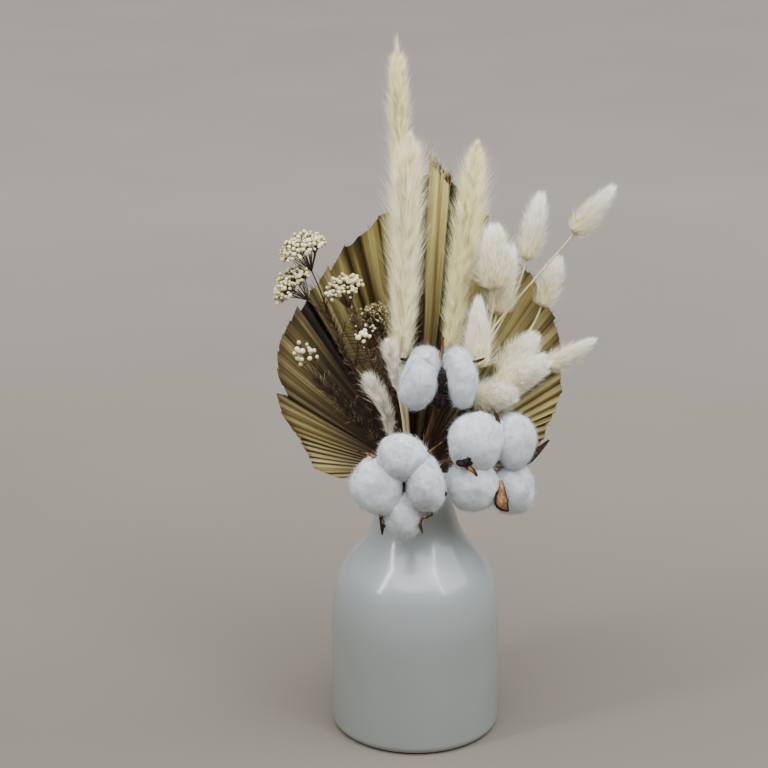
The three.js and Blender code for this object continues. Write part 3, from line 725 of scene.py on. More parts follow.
def glaze_material():
    """A cool white satin glaze: faint cloudy colour under a clear coat with a low ripple, and a painted
    sheen that makes the colour paler and bluer where the vase narrows to its neck, standing in for the
    overhead light there.
    """
    look = surface(
        "satin_glaze", 0.42,
        Specular_IOR_Level=0.75, Coat_Weight=0.85, Coat_Roughness=0.14, Coat_IOR=1.55,
    )
    broad = look.clouds(14)
    body = look.ramp(broad, (0.3, (134, 139, 136)), (0.7, (141, 146, 143)))
    # Painted sheen: a paler, bluer colour that stands in for the overhead light on the upper slope.
    painted_sheen = look.ramp(broad, (0.3, (150, 155, 156)), (0.7, (156, 161, 162)))
    height = look.axis("Z")
    rise, fall = look.between(height, *SHEEN_RISE), look.between(height, *SHEEN_FALL)
    colour = look.blend(look.maths("MULTIPLY", rise, fall), body, painted_sheen)
    colour = look.blend(look.between(height, *BARE_FOOT), linear(172, 164, 146), colour)
    look.link(look.between(look.clouds(60, 4), 0.0, 1.0, 0.36, 0.48), "Roughness")
    return look.finish(colour, look.clouds(90, 2), 0.1, 0.3)


def palm_material():
    """Dry palm leaf: olive gold, red-brown towards the hub and darkened there almost to black by painted
    shade, with fine veins along each pleat.
    """
    look = surface("dry_palm_leaf", 0.5, Specular_IOR_Level=0.4)
    source = look.add("TexCoord", "Object", {})
    inward = look.vectors("SUBTRACT", "Vector", source, tuple(PALM_HUB * MM))
    x, z = (look.add("SeparateXYZ", axis, {"Vector": inward}) for axis in "XZ")
    reach = look.vectors("LENGTH", "Value", inward)
    polar = look.add("CombineXYZ", "Vector", {"X": look.maths("ARCTAN2", z, x), "Y": reach, "Z": 0.0})
    veins = look.clouds(1.0, 4, 0.65, look.place((260, 8, 1), polar))
    streaks = look.clouds(1.0, 3, 0.6, look.place((46, 12, 1), polar))
    colour = look.ramp(
        look.mottled(streaks, 0.6),
        (0.0, (30, 22, 11)), (0.3, (100, 84, 44)), (0.6, (180, 166, 104)), (0.95, (228, 216, 138)),
    )
    colour = look.stained(colour, 0.75, veins, 0.36, 0.55, (176, 156, 116))
    spread = look.vectors("LENGTH", "Value", look.vectors("MULTIPLY", "Vector", inward, (2.2, 1, 0.9)))
    # Red-brown colour and painted shade: near the hub the leaf is darkened almost to black.
    near = look.between(spread, *HUB_BROWN_AND_SHADE, interpolation_type="SMOOTHSTEP")
    colour = look.blend(near, look.blend(0.9, colour, linear(46, 23, 12)), colour)
    return look.finish(colour, veins, 0.5, 0.35)


def cut_edge_material():
    """The ragged dry edge where the leaf was cut: brown and fibrous."""
    look = surface("cut_leaf_edge", 0.85)
    specks = look.clouds(900)
    fibres = look.ramp(look.tone(), (0.25, (84, 58, 30)), (0.5, (204, 188, 140)), (0.9, (240, 230, 194)))
    return look.finish(look.stained(fibres, 0.7, specks, 0.35, 0.65, (190, 170, 140)), specks, 0.8, 0.4)


def hair_material(name, root_colour, tip_colour, cloud_scale=160):
    """Soft plant hair: its colour goes from root to tip, with slight clouds of darker hair."""
    look = surface(name, 0.8, Specular_IOR_Level=0.3, Sheen_Weight=0.5)
    colour = look.ramp(look.tone(), (0.05, root_colour), (0.8, tip_colour))
    return look.finish(look.stained(colour, 0.6, look.clouds(cloud_scale), 0.3, 0.6, (236, 228, 204)))


def streaked(name, dark, light):
    """The nodes of a dry stalk, its fine streaks along it, and its colour."""
    look = surface(name, 0.6, Specular_IOR_Level=0.3)
    streaks = look.clouds(1.0, 4, at=look.place((500, 500, 60)))
    return look, streaks, look.ramp(streaks, (0.3, dark), (0.7, light))


def stalk_material(name, dark, light):
    """A dry stalk with fine streaks along it."""
    look, streaks, colour = streaked(name, dark, light)
    return look.finish(colour, streaks, 0.4, 0.2)


def tail_stem_material():
    """The bunny tails' stems: pale straw, darkened to brown low down among the other stems by painted
    shade.
    """
    look, _, pale = streaked("bunny_tail_stem", *STRAW)
    above = look.between(look.axis("Z"), *STEM_SHADE_LEVELS)
    return look.finish(look.blend(above, linear(60, 38, 24), pale))


def bud_material():
    """Rice-flower buds: straw cream, greener and browner at the foot, with a few dull ones."""
    look = surface("rice_bud", 0.6, Specular_IOR_Level=0.3)
    colour = look.ramp(look.tone(), (0.0, (104, 86, 48)), (0.26, (188, 179, 118)), (0.66, (246, 241, 206)))
    colour = look.stained(colour, 0.55, look.clouds(120, 2), 0.4, 0.55, (205, 188, 140))
    return look.finish(colour, look.clouds(1400, 2), 0.4, 0.2)


def needle_material():
    """Rice-flower needle leaves: dark brown, with some faded to straw."""
    look = surface("rice_needle", 0.7)
    colour = look.ramp(look.tone(), (0.0, (42, 26, 17)), (0.45, (100, 70, 42)), (0.9, (212, 194, 144)))
    return look.finish(look.stained(colour, 0.8, look.clouds(700, 2), 0.35, 0.65, (190, 176, 160)))


def cotton_material():
    """Cotton fibre: white, a little translucent, greyer in its folds."""
    look = surface(
        "cotton_fibre", 0.95, Specular_IOR_Level=0.1, Sheen_Weight=0.3,
        Subsurface_Weight=0.35, Subsurface_Scale=3 * MM, Subsurface_Radius=(1.0, 1.0, 1.0),
    )
    wisps = look.clouds(260, 5, 0.6)
    return look.finish(look.ramp(wisps, (0.3, (192, 197, 202)), (0.65, (215, 219, 223))), wisps, 0.22, 0.8)


def burr_material():
    """The dry burr: dark red-brown and streaked, paler tan where it is worn."""
    look = surface("dry_burr", 0.72, Specular_IOR_Level=0.2)
    grain = look.clouds(1.0, 4, 0.65, look.place((420, 420, 200)))
    colour = look.ramp(
        look.mottled(grain, 1.1),
        (0.1, (24, 15, 12)), (0.36, (74, 42, 27)), (0.6, (128, 92, 56)), (0.9, (196, 160, 102)),
    )
    return look.finish(colour, grain, 0.6, 0.4)


def floor_material():
    """A plain pale floor with a very faint mottle, darkened near the arrangement and in front of it by
    painted shade, and a little paler far away.
    """
    look = surface("pale_floor", 0.9, Specular_IOR_Level=0.2)
    mottle = look.clouds(3.0, 2)
    near = look.ramp(mottle, (0.3, (111, 105, 94)), (0.7, (115, 109, 98)))
    far = look.ramp(mottle, (0.3, (147, 140, 133)), (0.7, (151, 144, 137)))
    return look.finish(look.blend(look.between(look.axis("Y"), *FLOOR_SHADE_FADE), near, far))


# Pieces

def vase_profile():
    """The vase's wall as radius and height: up the outside, over the lip and down the inside."""
    turns = np.linspace(0, math.pi / 2, 9)
    rounding = np.stack([np.sin(turns) - 1, 1 - np.cos(turns)], axis=1)
    foot = (VASE_RADIUS, 0) + VASE_FOOT_ROUNDING * rounding
    outer = np.vstack([foot, smooth_line(VASE_SHOULDER, 46, even=True)])
    lip_radius = VASE_WALL / 2
    turns = np.radians(np.linspace(15, 165, 9))
    lip_middle = (VASE_NECK_RADIUS - lip_radius, VASE_HEIGHT - lip_radius)
    lip = lip_middle + lip_radius * np.stack([np.cos(turns), np.sin(turns)], axis=1)
    inner = outer[4:][::-1] - (VASE_WALL, 0)
    inner[:, 1] = np.maximum(inner[:, 1], VASE_FLOOR)
    return np.vstack([outer, lip, inner])


def vase():
    """The thrown vase: its profile turned about the axis, closed by a foot and a floor inside."""
    profile = vase_profile()
    turns = np.arange(VASE_SIDES) * FULL_TURN / VASE_SIDES
    wall = profile[:, None, :1] * around(RIGHT, BACK, turns) + profile[:, None, 1:] * UP
    points, triangles = drawn_together(wall, profile[0, 1] * UP, profile[-1, 1] * UP)
    bodies = Bodies()
    bodies.add(points, triangles[:, ::-1])
    bodies.piece("glazed_vase", "vase", [glaze_material()])


def at_angle(table, angle):
    """The value that one of the leaf's tables gives at an angle."""
    angles, values = zip(*reversed(table))
    return np.interp(angle, angles, values)


def palm_depth(x, z):
    """The leaf leans back as it rises, and its two sides cup backwards."""
    return PALM_HUB[1] + PALM_LEAN * (z - PALM_HUB[2]) + PALM_CUPPING * x * x


def palm_place(angle, reach):
    """Where the leaf's even surface is, at an angle and a reach from the hub."""
    x = PALM_HUB[0] + reach * np.cos(np.radians(angle))
    z = PALM_HUB[2] + reach * np.sin(np.radians(angle))
    return np.stack([x, palm_depth(x, z), z], axis=-1)


def deep_valley(angle):
    """How much deeper than the others the leaf's valley at this angle is."""
    return sum(depth * math.exp(-((angle - at) / VALLEY_WIDTH) ** 2) for at, depth in PALM_DEEP_VALLEYS)


def add_pleat(bodies, *pairs):
    """One pleat of the leaf: valley, ridge and valley, as a thin folded strip from the hub out. The
    pairs are what its left and right edges have of angle, trim, depth, bow and tone."""
    angle, trim, deep, bow = (np.linspace(*pair, PALM_COLUMNS) for pair in pairs[:4])
    left, right = pairs[4]
    middle = np.mean(pairs[0])
    columns = np.linspace(0, 1, PALM_COLUMNS)
    shares = np.linspace(0, 1, PALM_ROWS + 1)[:, None]
    along = PALM_INNER_RADIUS + (at_angle(PALM_MARGIN, angle) * trim - PALM_INNER_RADIUS) * shares
    zigzag = np.abs(2 * columns - 1) * 2 - 1
    half_step = np.radians(at_angle(PALM_PLEAT_STEPS, angle)) / 2
    fold = np.sign(zigzag) * np.abs(zigzag) ** 0.8 * along * half_step * at_angle(PALM_FOLDS, angle) / 2
    valley = deep * np.clip(zigzag, 0, 1) * shares
    strip = palm_place(angle, along)
    strip[..., 1] += fold + valley + bow * shares**2
    slope = at_angle(PALM_FOLDS, middle)
    # Painted light in the tones: the faces take their edges' tones, which carry painted face light; a
    # painted highlight along the ridge, partly wear; painted shade in the creases and along the deep
    # valleys; and the grass heads' painted shade.
    ridge_wear_and_highlight = 0.5 * (left + right) + 0.05
    crease_shade = 0.32 * min(1, slope)
    faces = np.interp(columns, [0, 0.08, 0.18, 0.44, 0.5, 0.56, 0.82, 0.92, 1], [
        left - crease_shade, left - 0.4 * crease_shade, left, left, ridge_wear_and_highlight,
        right, right, right - 0.4 * crease_shade, right - crease_shade,
    ])
    valley_shade = 0.05 * deep * np.abs(2 * columns - 1)
    margin = 0.12 * shares**24
    shaded = SHADE_DEPTH * math.exp(-((middle - SHADE_ANGLE) / SHADE_WIDTH) ** 2)
    shaded = shaded * np.clip((SHADE_REACH - shares) / 0.25, 0, 1)
    skin = BACK * PALM_THICKNESS * math.hypot(1, slope) / 2
    add_slab(bodies, strip, skin, faces - valley_shade - margin - shaded)


def add_spear(bodies):
    """The middle folds of the leaf, still closed: a ribbed strip in front of the rest, cut aslant."""
    rng = np.random.default_rng(SPEAR_SEED)
    turn = math.radians(SPEAR_ANGLE)
    columns = np.linspace(-1, 1, len(SPEAR_RIBS))
    shares = np.linspace(0.05, 1, SPEAR_ROWS)[:, None]
    along = (SPEAR_REACH - SPEAR_SLANT * (columns + 1) / 2 - SPEAR_CUT) * shares
    share = along / SPEAR_REACH
    widening = np.minimum(1, share / np.where(columns < 0, *SPEAR_WIDEST))
    width = SPEAR_WIDTH / 2 * (SPEAR_FOOT + (1 - SPEAR_FOOT) * widening)
    bow = 0.3 * share + SPEAR_BOW * (1 - share) * np.minimum(1, 2 * share)
    x = PALM_HUB[0] + along * math.cos(turn) + columns * width + bow
    z = PALM_HUB[2] + along * math.sin(turn)
    ribs = SPEAR_RIB_DEPTH * np.cos(2.4 * math.pi * columns + 0.6) * (0.3 + 0.7 * shares)
    y = palm_depth(x, z) - SPEAR_FORWARD + SPEAR_ROUNDING * columns**2 + ribs
    strip = np.stack([x, y, z], axis=-1)
    tones = np.array(SPEAR_RIBS) + np.linspace(-0.2, 0.04, SPEAR_ROWS)[:, None]
    add_slab(bodies, strip, BACK, tones)
    roots = along_line(strip[-1], (rng.uniform(-0.98, 0.98, SPEAR_FIBRES) + 1) / 2)
    roots += (0, -0.4, -2.5) + rng.uniform(-1, 1, roots.shape) * (0.1, 0.9, 0.6)
    rise = unit(rng.normal(0, 0.16, roots.shape) + (math.cos(turn), 0, math.sin(turn)))
    lengths = rng.uniform(2, SPEAR_CUT + 2.5, SPEAR_FIBRES)
    shades = rng.uniform(0, 1, SPEAR_FIBRES)
    curl = rng.normal(0, 0.12, roots.shape)
    add_hairs(bodies, roots, rise, lengths, SPEAR_FIBRE_RADIUS, curl, 2, (shades, shades), look=1)


def add_split_ends(bodies):
    """Loose fibres that the cut left standing all along the leaf's margin, and a few long brown ones."""
    rng = np.random.default_rng(SPLIT_END_SEED)
    angle = rng.uniform(PALM_MARGIN[-1][0], PALM_MARGIN[0][0], SPLIT_ENDS)
    long = (np.abs(angle - LONG_ENDS_ANGLE) < 4) & (rng.uniform(0, 1, SPLIT_ENDS) < 0.8)
    reach = at_angle(PALM_MARGIN, angle) * rng.uniform(0.95, 0.985, SPLIT_ENDS)
    roots = palm_place(angle, reach)
    roots[:, 1] += rng.uniform(0.2, 2.0, SPLIT_ENDS)
    ways = unit(around(RIGHT, UP, np.radians(angle)) + rng.normal(0, 0.16, roots.shape) * (1, 0.6, 1))
    lengths = np.where(
        long, rng.uniform(5, 9, SPLIT_ENDS), 0.036 * reach * rng.uniform(0.3, 1, SPLIT_ENDS),
    )
    shades = rng.uniform(0, 0.35, SPLIT_ENDS)
    curl = rng.normal(0, 0.16, roots.shape)
    tones = (shades, 0.6 * shades)
    add_hairs(bodies, roots, ways, lengths, SPLIT_END_RADIUS, curl, 2, tones, look=1)


def palm_leaf():
    """The fan palm leaf: its pleats, its spear, its split ends, and its stalk from a knot at the hub."""
    rng = np.random.default_rng(PALM_SEED)
    bodies = Bodies()
    edges, last = [PALM_MARGIN[0][0]], PALM_MARGIN[-1][0]
    while edges[-1] > last + 1.5 * at_angle(PALM_PLEAT_STEPS, edges[-1]):
        edges.append(edges[-1] - at_angle(PALM_PLEAT_STEPS, edges[-1]) * rng.uniform(0.8, 1.2))
    edges.append(last)
    bows = np.convolve(rng.normal(0, 2.0, len(edges) + 2), [0.3, 0.4, 0.3], "valid")
    for i, (left, right) in enumerate(zip(edges, edges[1:])):
        middle = (left + right) / 2
        slant = rng.uniform(-0.007, 0.016)
        trim = 1 + rng.uniform(-0.018, 0.006)
        depths = (deep_valley(left), deep_valley(right))
        tone = at_angle(PALM_TONES_AND_SHADE, middle) + rng.uniform(-0.05, 0.05)
        # Painted light on the pleat faces: one face of each pleat lighter and the other darker, by its
        # side of the leaf and at random, more where the fold is steep.
        painted_face_light = 0.05 * math.cos(math.radians(middle))
        painted_face_light += rng.uniform(-0.14, 0.14) * at_angle(PALM_FOLDS, middle)
        trims = (trim - slant, trim + slant)
        add_pleat(bodies, (left, right), trims, depths, bows[i:i + 2], (tone + painted_face_light, tone - painted_face_light))
    add_spear(bodies)
    add_split_ends(bodies)
    knot, triangles = ball(20, 12)
    bodies.add(PALM_HUB + knot * PALM_KNOT, triangles, 0.2, 2)
    add_tube(bodies, stem_route(PALM_HUB[:2], PALM_HUB, UP), PALM_STALK_RADIUS, 12, look=2)
    stalk_look = stalk_material("palm_stalk", (58, 38, 22), (120, 92, 52))
    looks = [palm_material(), cut_edge_material(), stalk_look]
    bodies.piece("palm_fan", "palm_leaf", looks, smooth=False)


def plume_width(share, half_width):
    """A plume's half width along it: it swells from its foot up and tapers at its tip."""
    swelling = np.minimum(1, 0.5 + 0.9 * share)
    return half_width * swelling * np.sqrt(np.minimum(1, 0.04 + 2.8 * (1 - share)))


def add_tufts(bodies, line, length, half_width, tufts, openings, looseness, rng):
    """Tufts of hairs round a line. Each sweeps up and out from one root and closes to a loose point."""
    shares = (np.arange(tufts) + rng.uniform(0, 1, tufts)) / tufts * 0.97
    turns = np.arange(tufts) * GOLDEN_ANGLE + rng.normal(0, 0.3, tufts)
    points, forward, outward = sprout(line, shares, turns)
    width = plume_width(shares, half_width)
    room = np.maximum(3, (1 - shares) * length - 2)
    opening = np.radians(rng.uniform(*openings, tufts))
    reach = np.minimum(width * rng.uniform(0.75, 1.15, tufts) / np.sin(opening), room / np.cos(opening))
    reach = np.clip(reach, 2.5, 2.4 * half_width)
    roots = points + outward * (0.25 * width)[:, None]
    tips = points + leaning(forward, outward, opening) * reach[:, None]
    shades = rng.uniform(0, 1, tufts)
    for hairs, rings, spread in (
        (HAIRS_PER_TUFT, 1, looseness), (FINE_HAIRS_PER_TUFT, 2, 1.6 * looseness),
    ):
        count = tufts * hairs
        start = np.repeat(roots, hairs, axis=0) + rng.normal(0, 0.55, (count, 3))
        goal = np.repeat(tips, hairs, axis=0) + rng.normal(0, spread, (count, 3))
        span = (goal - start) * rng.uniform(0.55, 1.0, count)[:, None]
        curl = rng.normal(0, 0.07, (count, 3)) * (rings > 1)
        light = np.repeat(shades, hairs)
        tones = (0.25 + 0.35 * light, 0.5 + 0.25 * light + rng.uniform(0, 0.3, count))
        add_hairs(bodies, start, unit(span), lengths_of(span), HAIR_RADIUS, curl, rings, tones)


def add_down(bodies, line, length, half_width, count, wisp, rng):
    """The finest hairs, that stand out past the tufts all along a line and trail off at its tip."""
    shares = rng.uniform(0, 1, count)
    points, forward, outward = sprout(line, shares, rng.uniform(0, FULL_TURN, count))
    opening = np.radians(rng.uniform(12, 38, count))
    width = plume_width(shares, half_width)
    reach = width * rng.uniform(0.9, 1.4, count) / np.sin(opening)
    room = (1 - shares) * length + rng.uniform(-2, 3, count)
    reach = np.clip(np.minimum(reach, room), 3, 3 * half_width)
    curl = rng.normal(0, 0.1, (count, 3))
    roots = points + 0.3 * width[:, None] * outward
    ways = leaning(forward, outward, opening)
    add_hairs(bodies, roots, ways, reach, DOWN_RADIUS, curl, 2, (0.7, 1.0))
    onward = unit(line[-1] - line[-2])
    ways = unit(onward + rng.normal(0, 0.07, (TIP_WISPS, 3)))
    roots = line[-1] - 4 * onward + rng.normal(0, 0.5, ways.shape)
    add_hairs(bodies, roots, ways, rng.uniform(*wisp, TIP_WISPS), TIP_WISP_RADIUS, 0 * ways, 2, (0.7, 1.0))


def plume(name, looks, slot, line, half_width, tufts, openings, looseness, core, down, wisp, seed):
    """A feathery plume: a slim core with tufts of fine hairs that all sweep up and a little out."""
    rng = np.random.default_rng(seed)
    line = smooth_line(line, 40)
    length = lengths_of(np.diff(line, axis=0)).sum()
    bodies = Bodies()
    shares = np.linspace(0, 1, len(line))
    radii = core * plume_width(shares, half_width) * np.interp(shares, [0, 0.9, 1], [1, 0.8, 0.1])
    add_tube(bodies, line, radii, 10, tone=0.6)
    rise = unit(line[1] - line[0])
    add_tube(bodies, stem_route(slot, line[0] + 2 * rise, rise), PLUME_STEM_RADIUS, 8, look=1)
    add_tufts(bodies, line, length, half_width, tufts, openings, looseness, rng)
    add_down(bodies, line, length, half_width, down, wisp, rng)
    bodies.piece(f"{name}_hairs", name, looks)


def tail_outline(share, pointed):
    """A bunny tail's half width along it, as a share of its widest: an egg, or pointed at its tip."""
    places = [0, 0.06, 0.16, 0.34, 0.55, 0.75, 0.88, 0.96, 1]
    egg = np.interp(share, places, [0.42, 0.68, 0.9, 1, 0.97, 0.84, 0.64, 0.42, 0.2])
    spike = np.interp(share, places, [0.45, 0.8, 0.98, 0.97, 0.78, 0.54, 0.36, 0.2, 0.08])
    return egg + (spike - egg) * pointed


def bunny_tail(number, looks, slot, base, tip, half_width, pointed):
    """A bunny-tail head: an egg of short soft hairs swept towards its tip, on a thin stem."""
    rng = np.random.default_rng(TAIL_SEED + number)
    base = np.array(base, float)
    length = lengths_of(tip - base)
    along = unit(tip - base)
    side, other = beside(along, UP)
    bodies = Bodies()
    levels = np.linspace(0.02, 0.9, 14)
    core = 0.66 * half_width * tail_outline(levels, pointed)
    core[[0, -1]] = 0.4
    add_tube(bodies, base + along * (levels * length)[:, None], core, 14, tone=0.1 + 0.5 * levels)
    route = stem_route(slot, base + 0.1 * length * along, along)
    add_tube(bodies, route, TAIL_STEM_RADIUS, 6, look=1)

    def spots(shares, turns, widths):
        """Places at these shares of the head's length, and this wide of its middle."""
        return base + along * (shares * length)[:, None] + around(side, other, turns) * widths[:, None]

    for count, radius, rings, reach in (
        (TAIL_HAIRS, HAIR_RADIUS, 1, (0.7, 1.02)), (TAIL_SPIKES, SPIKE_RADIUS, 2, (1.0, 1.7)),
    ):
        turns = rng.uniform(0, FULL_TURN, count)
        ends = 0.08 + 0.92 * rng.uniform(0, 1, count) ** 0.85
        starts = np.maximum(0.03, ends - rng.uniform(0.14, 0.3, count))
        outer = half_width * tail_outline(ends, pointed) * rng.uniform(*reach, count)
        roots = spots(starts, turns, 0.6 * half_width * tail_outline(starts, pointed))
        skewed = turns + rng.normal(0, 0.3, count)
        span = spots(ends + rng.uniform(-0.03, 0.05, count), skewed, outer) - roots
        tones = (0.1 + 0.45 * starts, 0.4 + 0.6 * ends)
        curl = rng.normal(0, 0.1, (count, 3)) * (rings > 1)
        add_hairs(bodies, roots, unit(span), lengths_of(span), radius, curl, rings, tones)
    husk = around(side, other, np.arange(HUSK_POINTS) * FULL_TURN / HUSK_POINTS)
    roots = 0 * husk + base + along * 0.5
    ways = leaning(along, husk, HUSK_OPENING)
    add_hairs(bodies, roots, ways, HUSK_LENGTH, HUSK_RADIUS, 0 * husk, 2, (0, 0), look=2)
    name = f"bunny_tail_{number}"
    bodies.piece(f"{name}_hairs", name, looks)


def add_bud_dome(bodies, fork, centre, sizes, buds, bud_radius, shade, rng):
    """A dome of buds on forking stalks, from the fork to a few knots and from each to its buds, with
    short chaff among the buds."""
    wide, high = sizes
    facing = unit(centre - fork)
    side, other = beside(facing, UP)
    crotch = centre - 1.3 * high * facing
    add_tube(bodies, [fork, (fork + crotch) / 2 + 0.3, crotch], FORK_RADIUS, 6, tone=0.2, look=1)

    def spread(flat, lift):
        """Places all round the dome, this wide of its middle and this high, as shares of its sizes."""
        outward = around(side, other, np.arange(len(flat)) * GOLDEN_ANGLE)
        return centre + wide * flat[:, None] * outward + high * facing * lift[:, None]

    lift = 1 - 1.25 * (np.arange(buds) + 0.5) / buds
    flat = np.sqrt(1 - lift**2) * rng.uniform(0.8, 1.05, buds)
    places = spread(flat, 0.85 * lift * rng.uniform(0.6, 1.05, buds))
    places += rng.normal(0, 0.06 * wide, places.shape)
    knots = max(3, buds // 8)
    flat = 0.65 * np.sqrt((np.arange(knots) + 0.5) / knots)
    joints = spread(flat, -0.1 - 0.35 * flat)
    for joint in joints:
        bent = (crotch + joint) / 2 + 0.12 * high * facing * rng.uniform(-1, 0.4)
        stalk = smooth_line([crotch, bent, joint], 5)
        add_tube(bodies, stalk, KNOT_STALK_RADIUS, 4, tone=0.25, look=1)
    own_joints = joints[np.argmin(lengths_of(places[:, None] - joints), axis=1)]
    for bud, joint in zip(places, own_joints):
        add_tube(bodies, [joint, bud], BUD_STALK_RADIUS, 3, tone=0.35, look=1)
    axes = unit(places - own_joints + 0.001)
    shades = shade + rng.uniform(-0.28, 0.2, buds)
    add_balls(bodies, places, axes, bud_radius * rng.uniform(0.62, 1.2, buds), shades, 1.1)
    chaff = np.repeat(places, 2, axis=0) + rng.normal(0, 0.6, (2 * buds, 3))
    ways = unit(np.repeat(axes, 2, axis=0) + rng.normal(0, 0.7, chaff.shape))
    roots = chaff - 1.2 * ways
    add_hairs(bodies, roots, ways, CHAFF_LENGTH, CHAFF_RADIUS, 0 * roots, 1, (0.75, 1.0), look=2)


def add_leaves(bodies, line, count, lengths, openings, freshness, rng):
    """Needle leaves all round a woody line, the more of them faded to straw the less fresh it is."""
    shares = rng.uniform(0, 0.97, count)
    points, forward, outward = sprout(line, shares, rng.uniform(0, FULL_TURN, count))
    directions = leaning(forward, outward, np.radians(rng.uniform(*openings, count)))
    curl = UP * 0.3 * rng.uniform(-1, 1, (count, 1)) + rng.normal(0, 0.15, (count, 3))
    shades = rng.uniform(0, 1, count) ** freshness
    lengths = rng.uniform(*lengths, count)
    tones = (0.7 * shades, shades)
    add_hairs(bodies, points, directions, lengths, NEEDLE_RADIUS, curl, 2, tones, look=2)


def add_twig(bodies, start, way, reach, buds, freshness, rng):
    """A thin side twig with needle leaves, that may end in a few small dull buds."""
    end = start + way * reach
    bent = (start + end) / 2 + rng.normal(0, 0.07 * reach, 3)
    line = smooth_line([start, bent, end], 8)
    add_tube(bodies, line, np.linspace(TWIG_RADIUS, 0.25, 8), 5, tone=0.2, look=1)
    add_leaves(
        bodies, line, LEAVES_PER_TWIG, TWIG_LEAF_LENGTHS, TWIG_LEAF_OPENINGS, freshness, rng,
    )
    places = end + rng.normal(0, 1.7, (buds, 3))
    for bud in places:
        add_tube(bodies, [line[-2], bud], TWIG_BUD_STALK_RADIUS, 3, tone=0.3, look=1)
    axes = unit(places - line[-2])
    add_balls(bodies, places, axes, rng.uniform(0.4, 0.75, buds), rng.uniform(-0.4, 0, buds), 1.2)


def rice_flower(name, looks, slot, line, heads, leaves, freshness, twigs, twig_buds, long_leaves, seed):
    """A rice-flower spray: a woody stem with many needle leaves, under domes of small round buds."""
    rng = np.random.default_rng(seed)
    line = smooth_line(line, 24)
    along = frames_along(line)[0]
    bodies = Bodies()
    route = stem_route(slot, line[0] + along[0], along[0])
    add_tube(bodies, route, RICE_STEM_RADIUS, 8, tone=0.2, look=1)
    add_tube(bodies, line, np.linspace(RICE_STEM_RADIUS, 0.5, len(line)), 8, tone=0.2, look=1)
    for share, *head in heads:
        add_bud_dome(bodies, along_line(line, share), *head, rng)
    add_leaves(bodies, line, leaves, STEM_LEAF_LENGTHS, STEM_LEAF_OPENINGS, freshness, rng)
    for share in rng.uniform(0.05, 0.85, twigs):
        aside = (rng.uniform(-0.15, 0.7), rng.uniform(-0.35, 0.35), 0.15)
        way = unit(unit(along_line(along, share)) + aside)
        buds = twig_buds if share > 0.4 else 0
        add_twig(bodies, along_line(line, share), way, rng.uniform(13, 27), buds, freshness, rng)
    roots = along_line(line, np.linspace(0.55, 0.85, long_leaves))
    ways = unit(np.array([-1, -0.25, 0.25]) + rng.normal(0, 0.12, roots.shape))
    lengths = rng.uniform(11, 15, long_leaves)
    drooping = -UP * rng.uniform(0.1, 0.4, (long_leaves, 1))
    add_hairs(bodies, roots, ways, lengths, LONG_LEAF_RADIUS, drooping, 6, (0.1, 0.2), look=2)
    bodies.piece(f"{name}_spray", name, looks)


def boll_axes(boll, lean=0):
    """A boll's own directions: across, up and out where it opens, with its top leaning to the right."""
    out = unit(np.array(boll["facing"], float))
    right = unit(-np.cross(out, UP))
    top = -np.cross(right, out)
    sin, cos = math.sin(math.radians(lean)), math.cos(math.radians(lean))
    return np.array([right * cos - top * sin, right * sin + top * cos, out])


def boll_point(boll, place):
    """A place across, up and out from a boll's centre, in the frame."""
    return np.array(boll["centre"], float) + np.array(place, float) @ boll_axes(boll)


def round_ball(subdivisions):
    """A ball of radius 1 with triangles of even size, as points and triangles."""
    made = bmesh.new()
    bmesh.ops.create_icosphere(made, subdivisions=subdivisions, radius=1.0)
    made.verts.index_update()
    points = np.array([vert.co[:] for vert in made.verts])
    triangles = np.array([[vert.index for vert in face.verts] for face in made.faces])
    made.free()
    return points, triangles


def other_locks(boll, lock):
    return [each for each in boll["locks"] if each is not lock]


def lock_level(points, boll, lock):
    """Where points are about a lock: below 1 inside it, 1 on its surface and above 1 outside."""
    place, sizes, lean = lock
    local = (points - boll_point(boll, place)) @ boll_axes(boll, lean).T
    return np.sum((local * 2 / sizes) ** 2, axis=1)


def lock_points(points, boll, lock):
    """Places a ball's points as one lock of cotton: a soft egg with swellings over its seeds, that
    swells out a little where it nears another lock, so that the seam between them is soft."""
    place, sizes, lean = lock
    sizes = np.array(sizes) - FUZZ_DEPTH
    axes = boll_axes(boll, lean)
    x, y, z = points.T
    seeds = np.sin(3 * x + place[0]) * np.cos(3.5 * y + place[1])
    lumps = np.array([noise.fractal(Vector(p) * 2.2 + Vector(place), 0.8, 2.1, 5) for p in points])
    swell = 1 + 0.05 * seeds + 0.03 * np.sin(5 * z + sizes[0]) + 0.05 * lumps
    placed = boll_point(boll, place) + (points * swell[:, None] * sizes / 2) @ axes
    normals = unit((points / sizes) @ axes)
    for other in other_locks(boll, lock):
        apart = np.sqrt(lock_level(placed, boll, other))
        near = np.clip(1 - np.abs(apart - 1) / SEAM_REACH, 0, 1)
        placed = placed + normals * (SEAM_SWELLING * near**2)[:, None]
    return placed


def swirls(points):
    """Directions that change slowly from place to place, as combed cotton does."""
    waves = points @ np.array([[0.31, -0.22, 0.17], [-0.19, 0.28, 0.33], [0.24, 0.35, -0.21]])
    return unit(np.sin(waves + (1.3, 2.1, 0.7)) + 0.01)


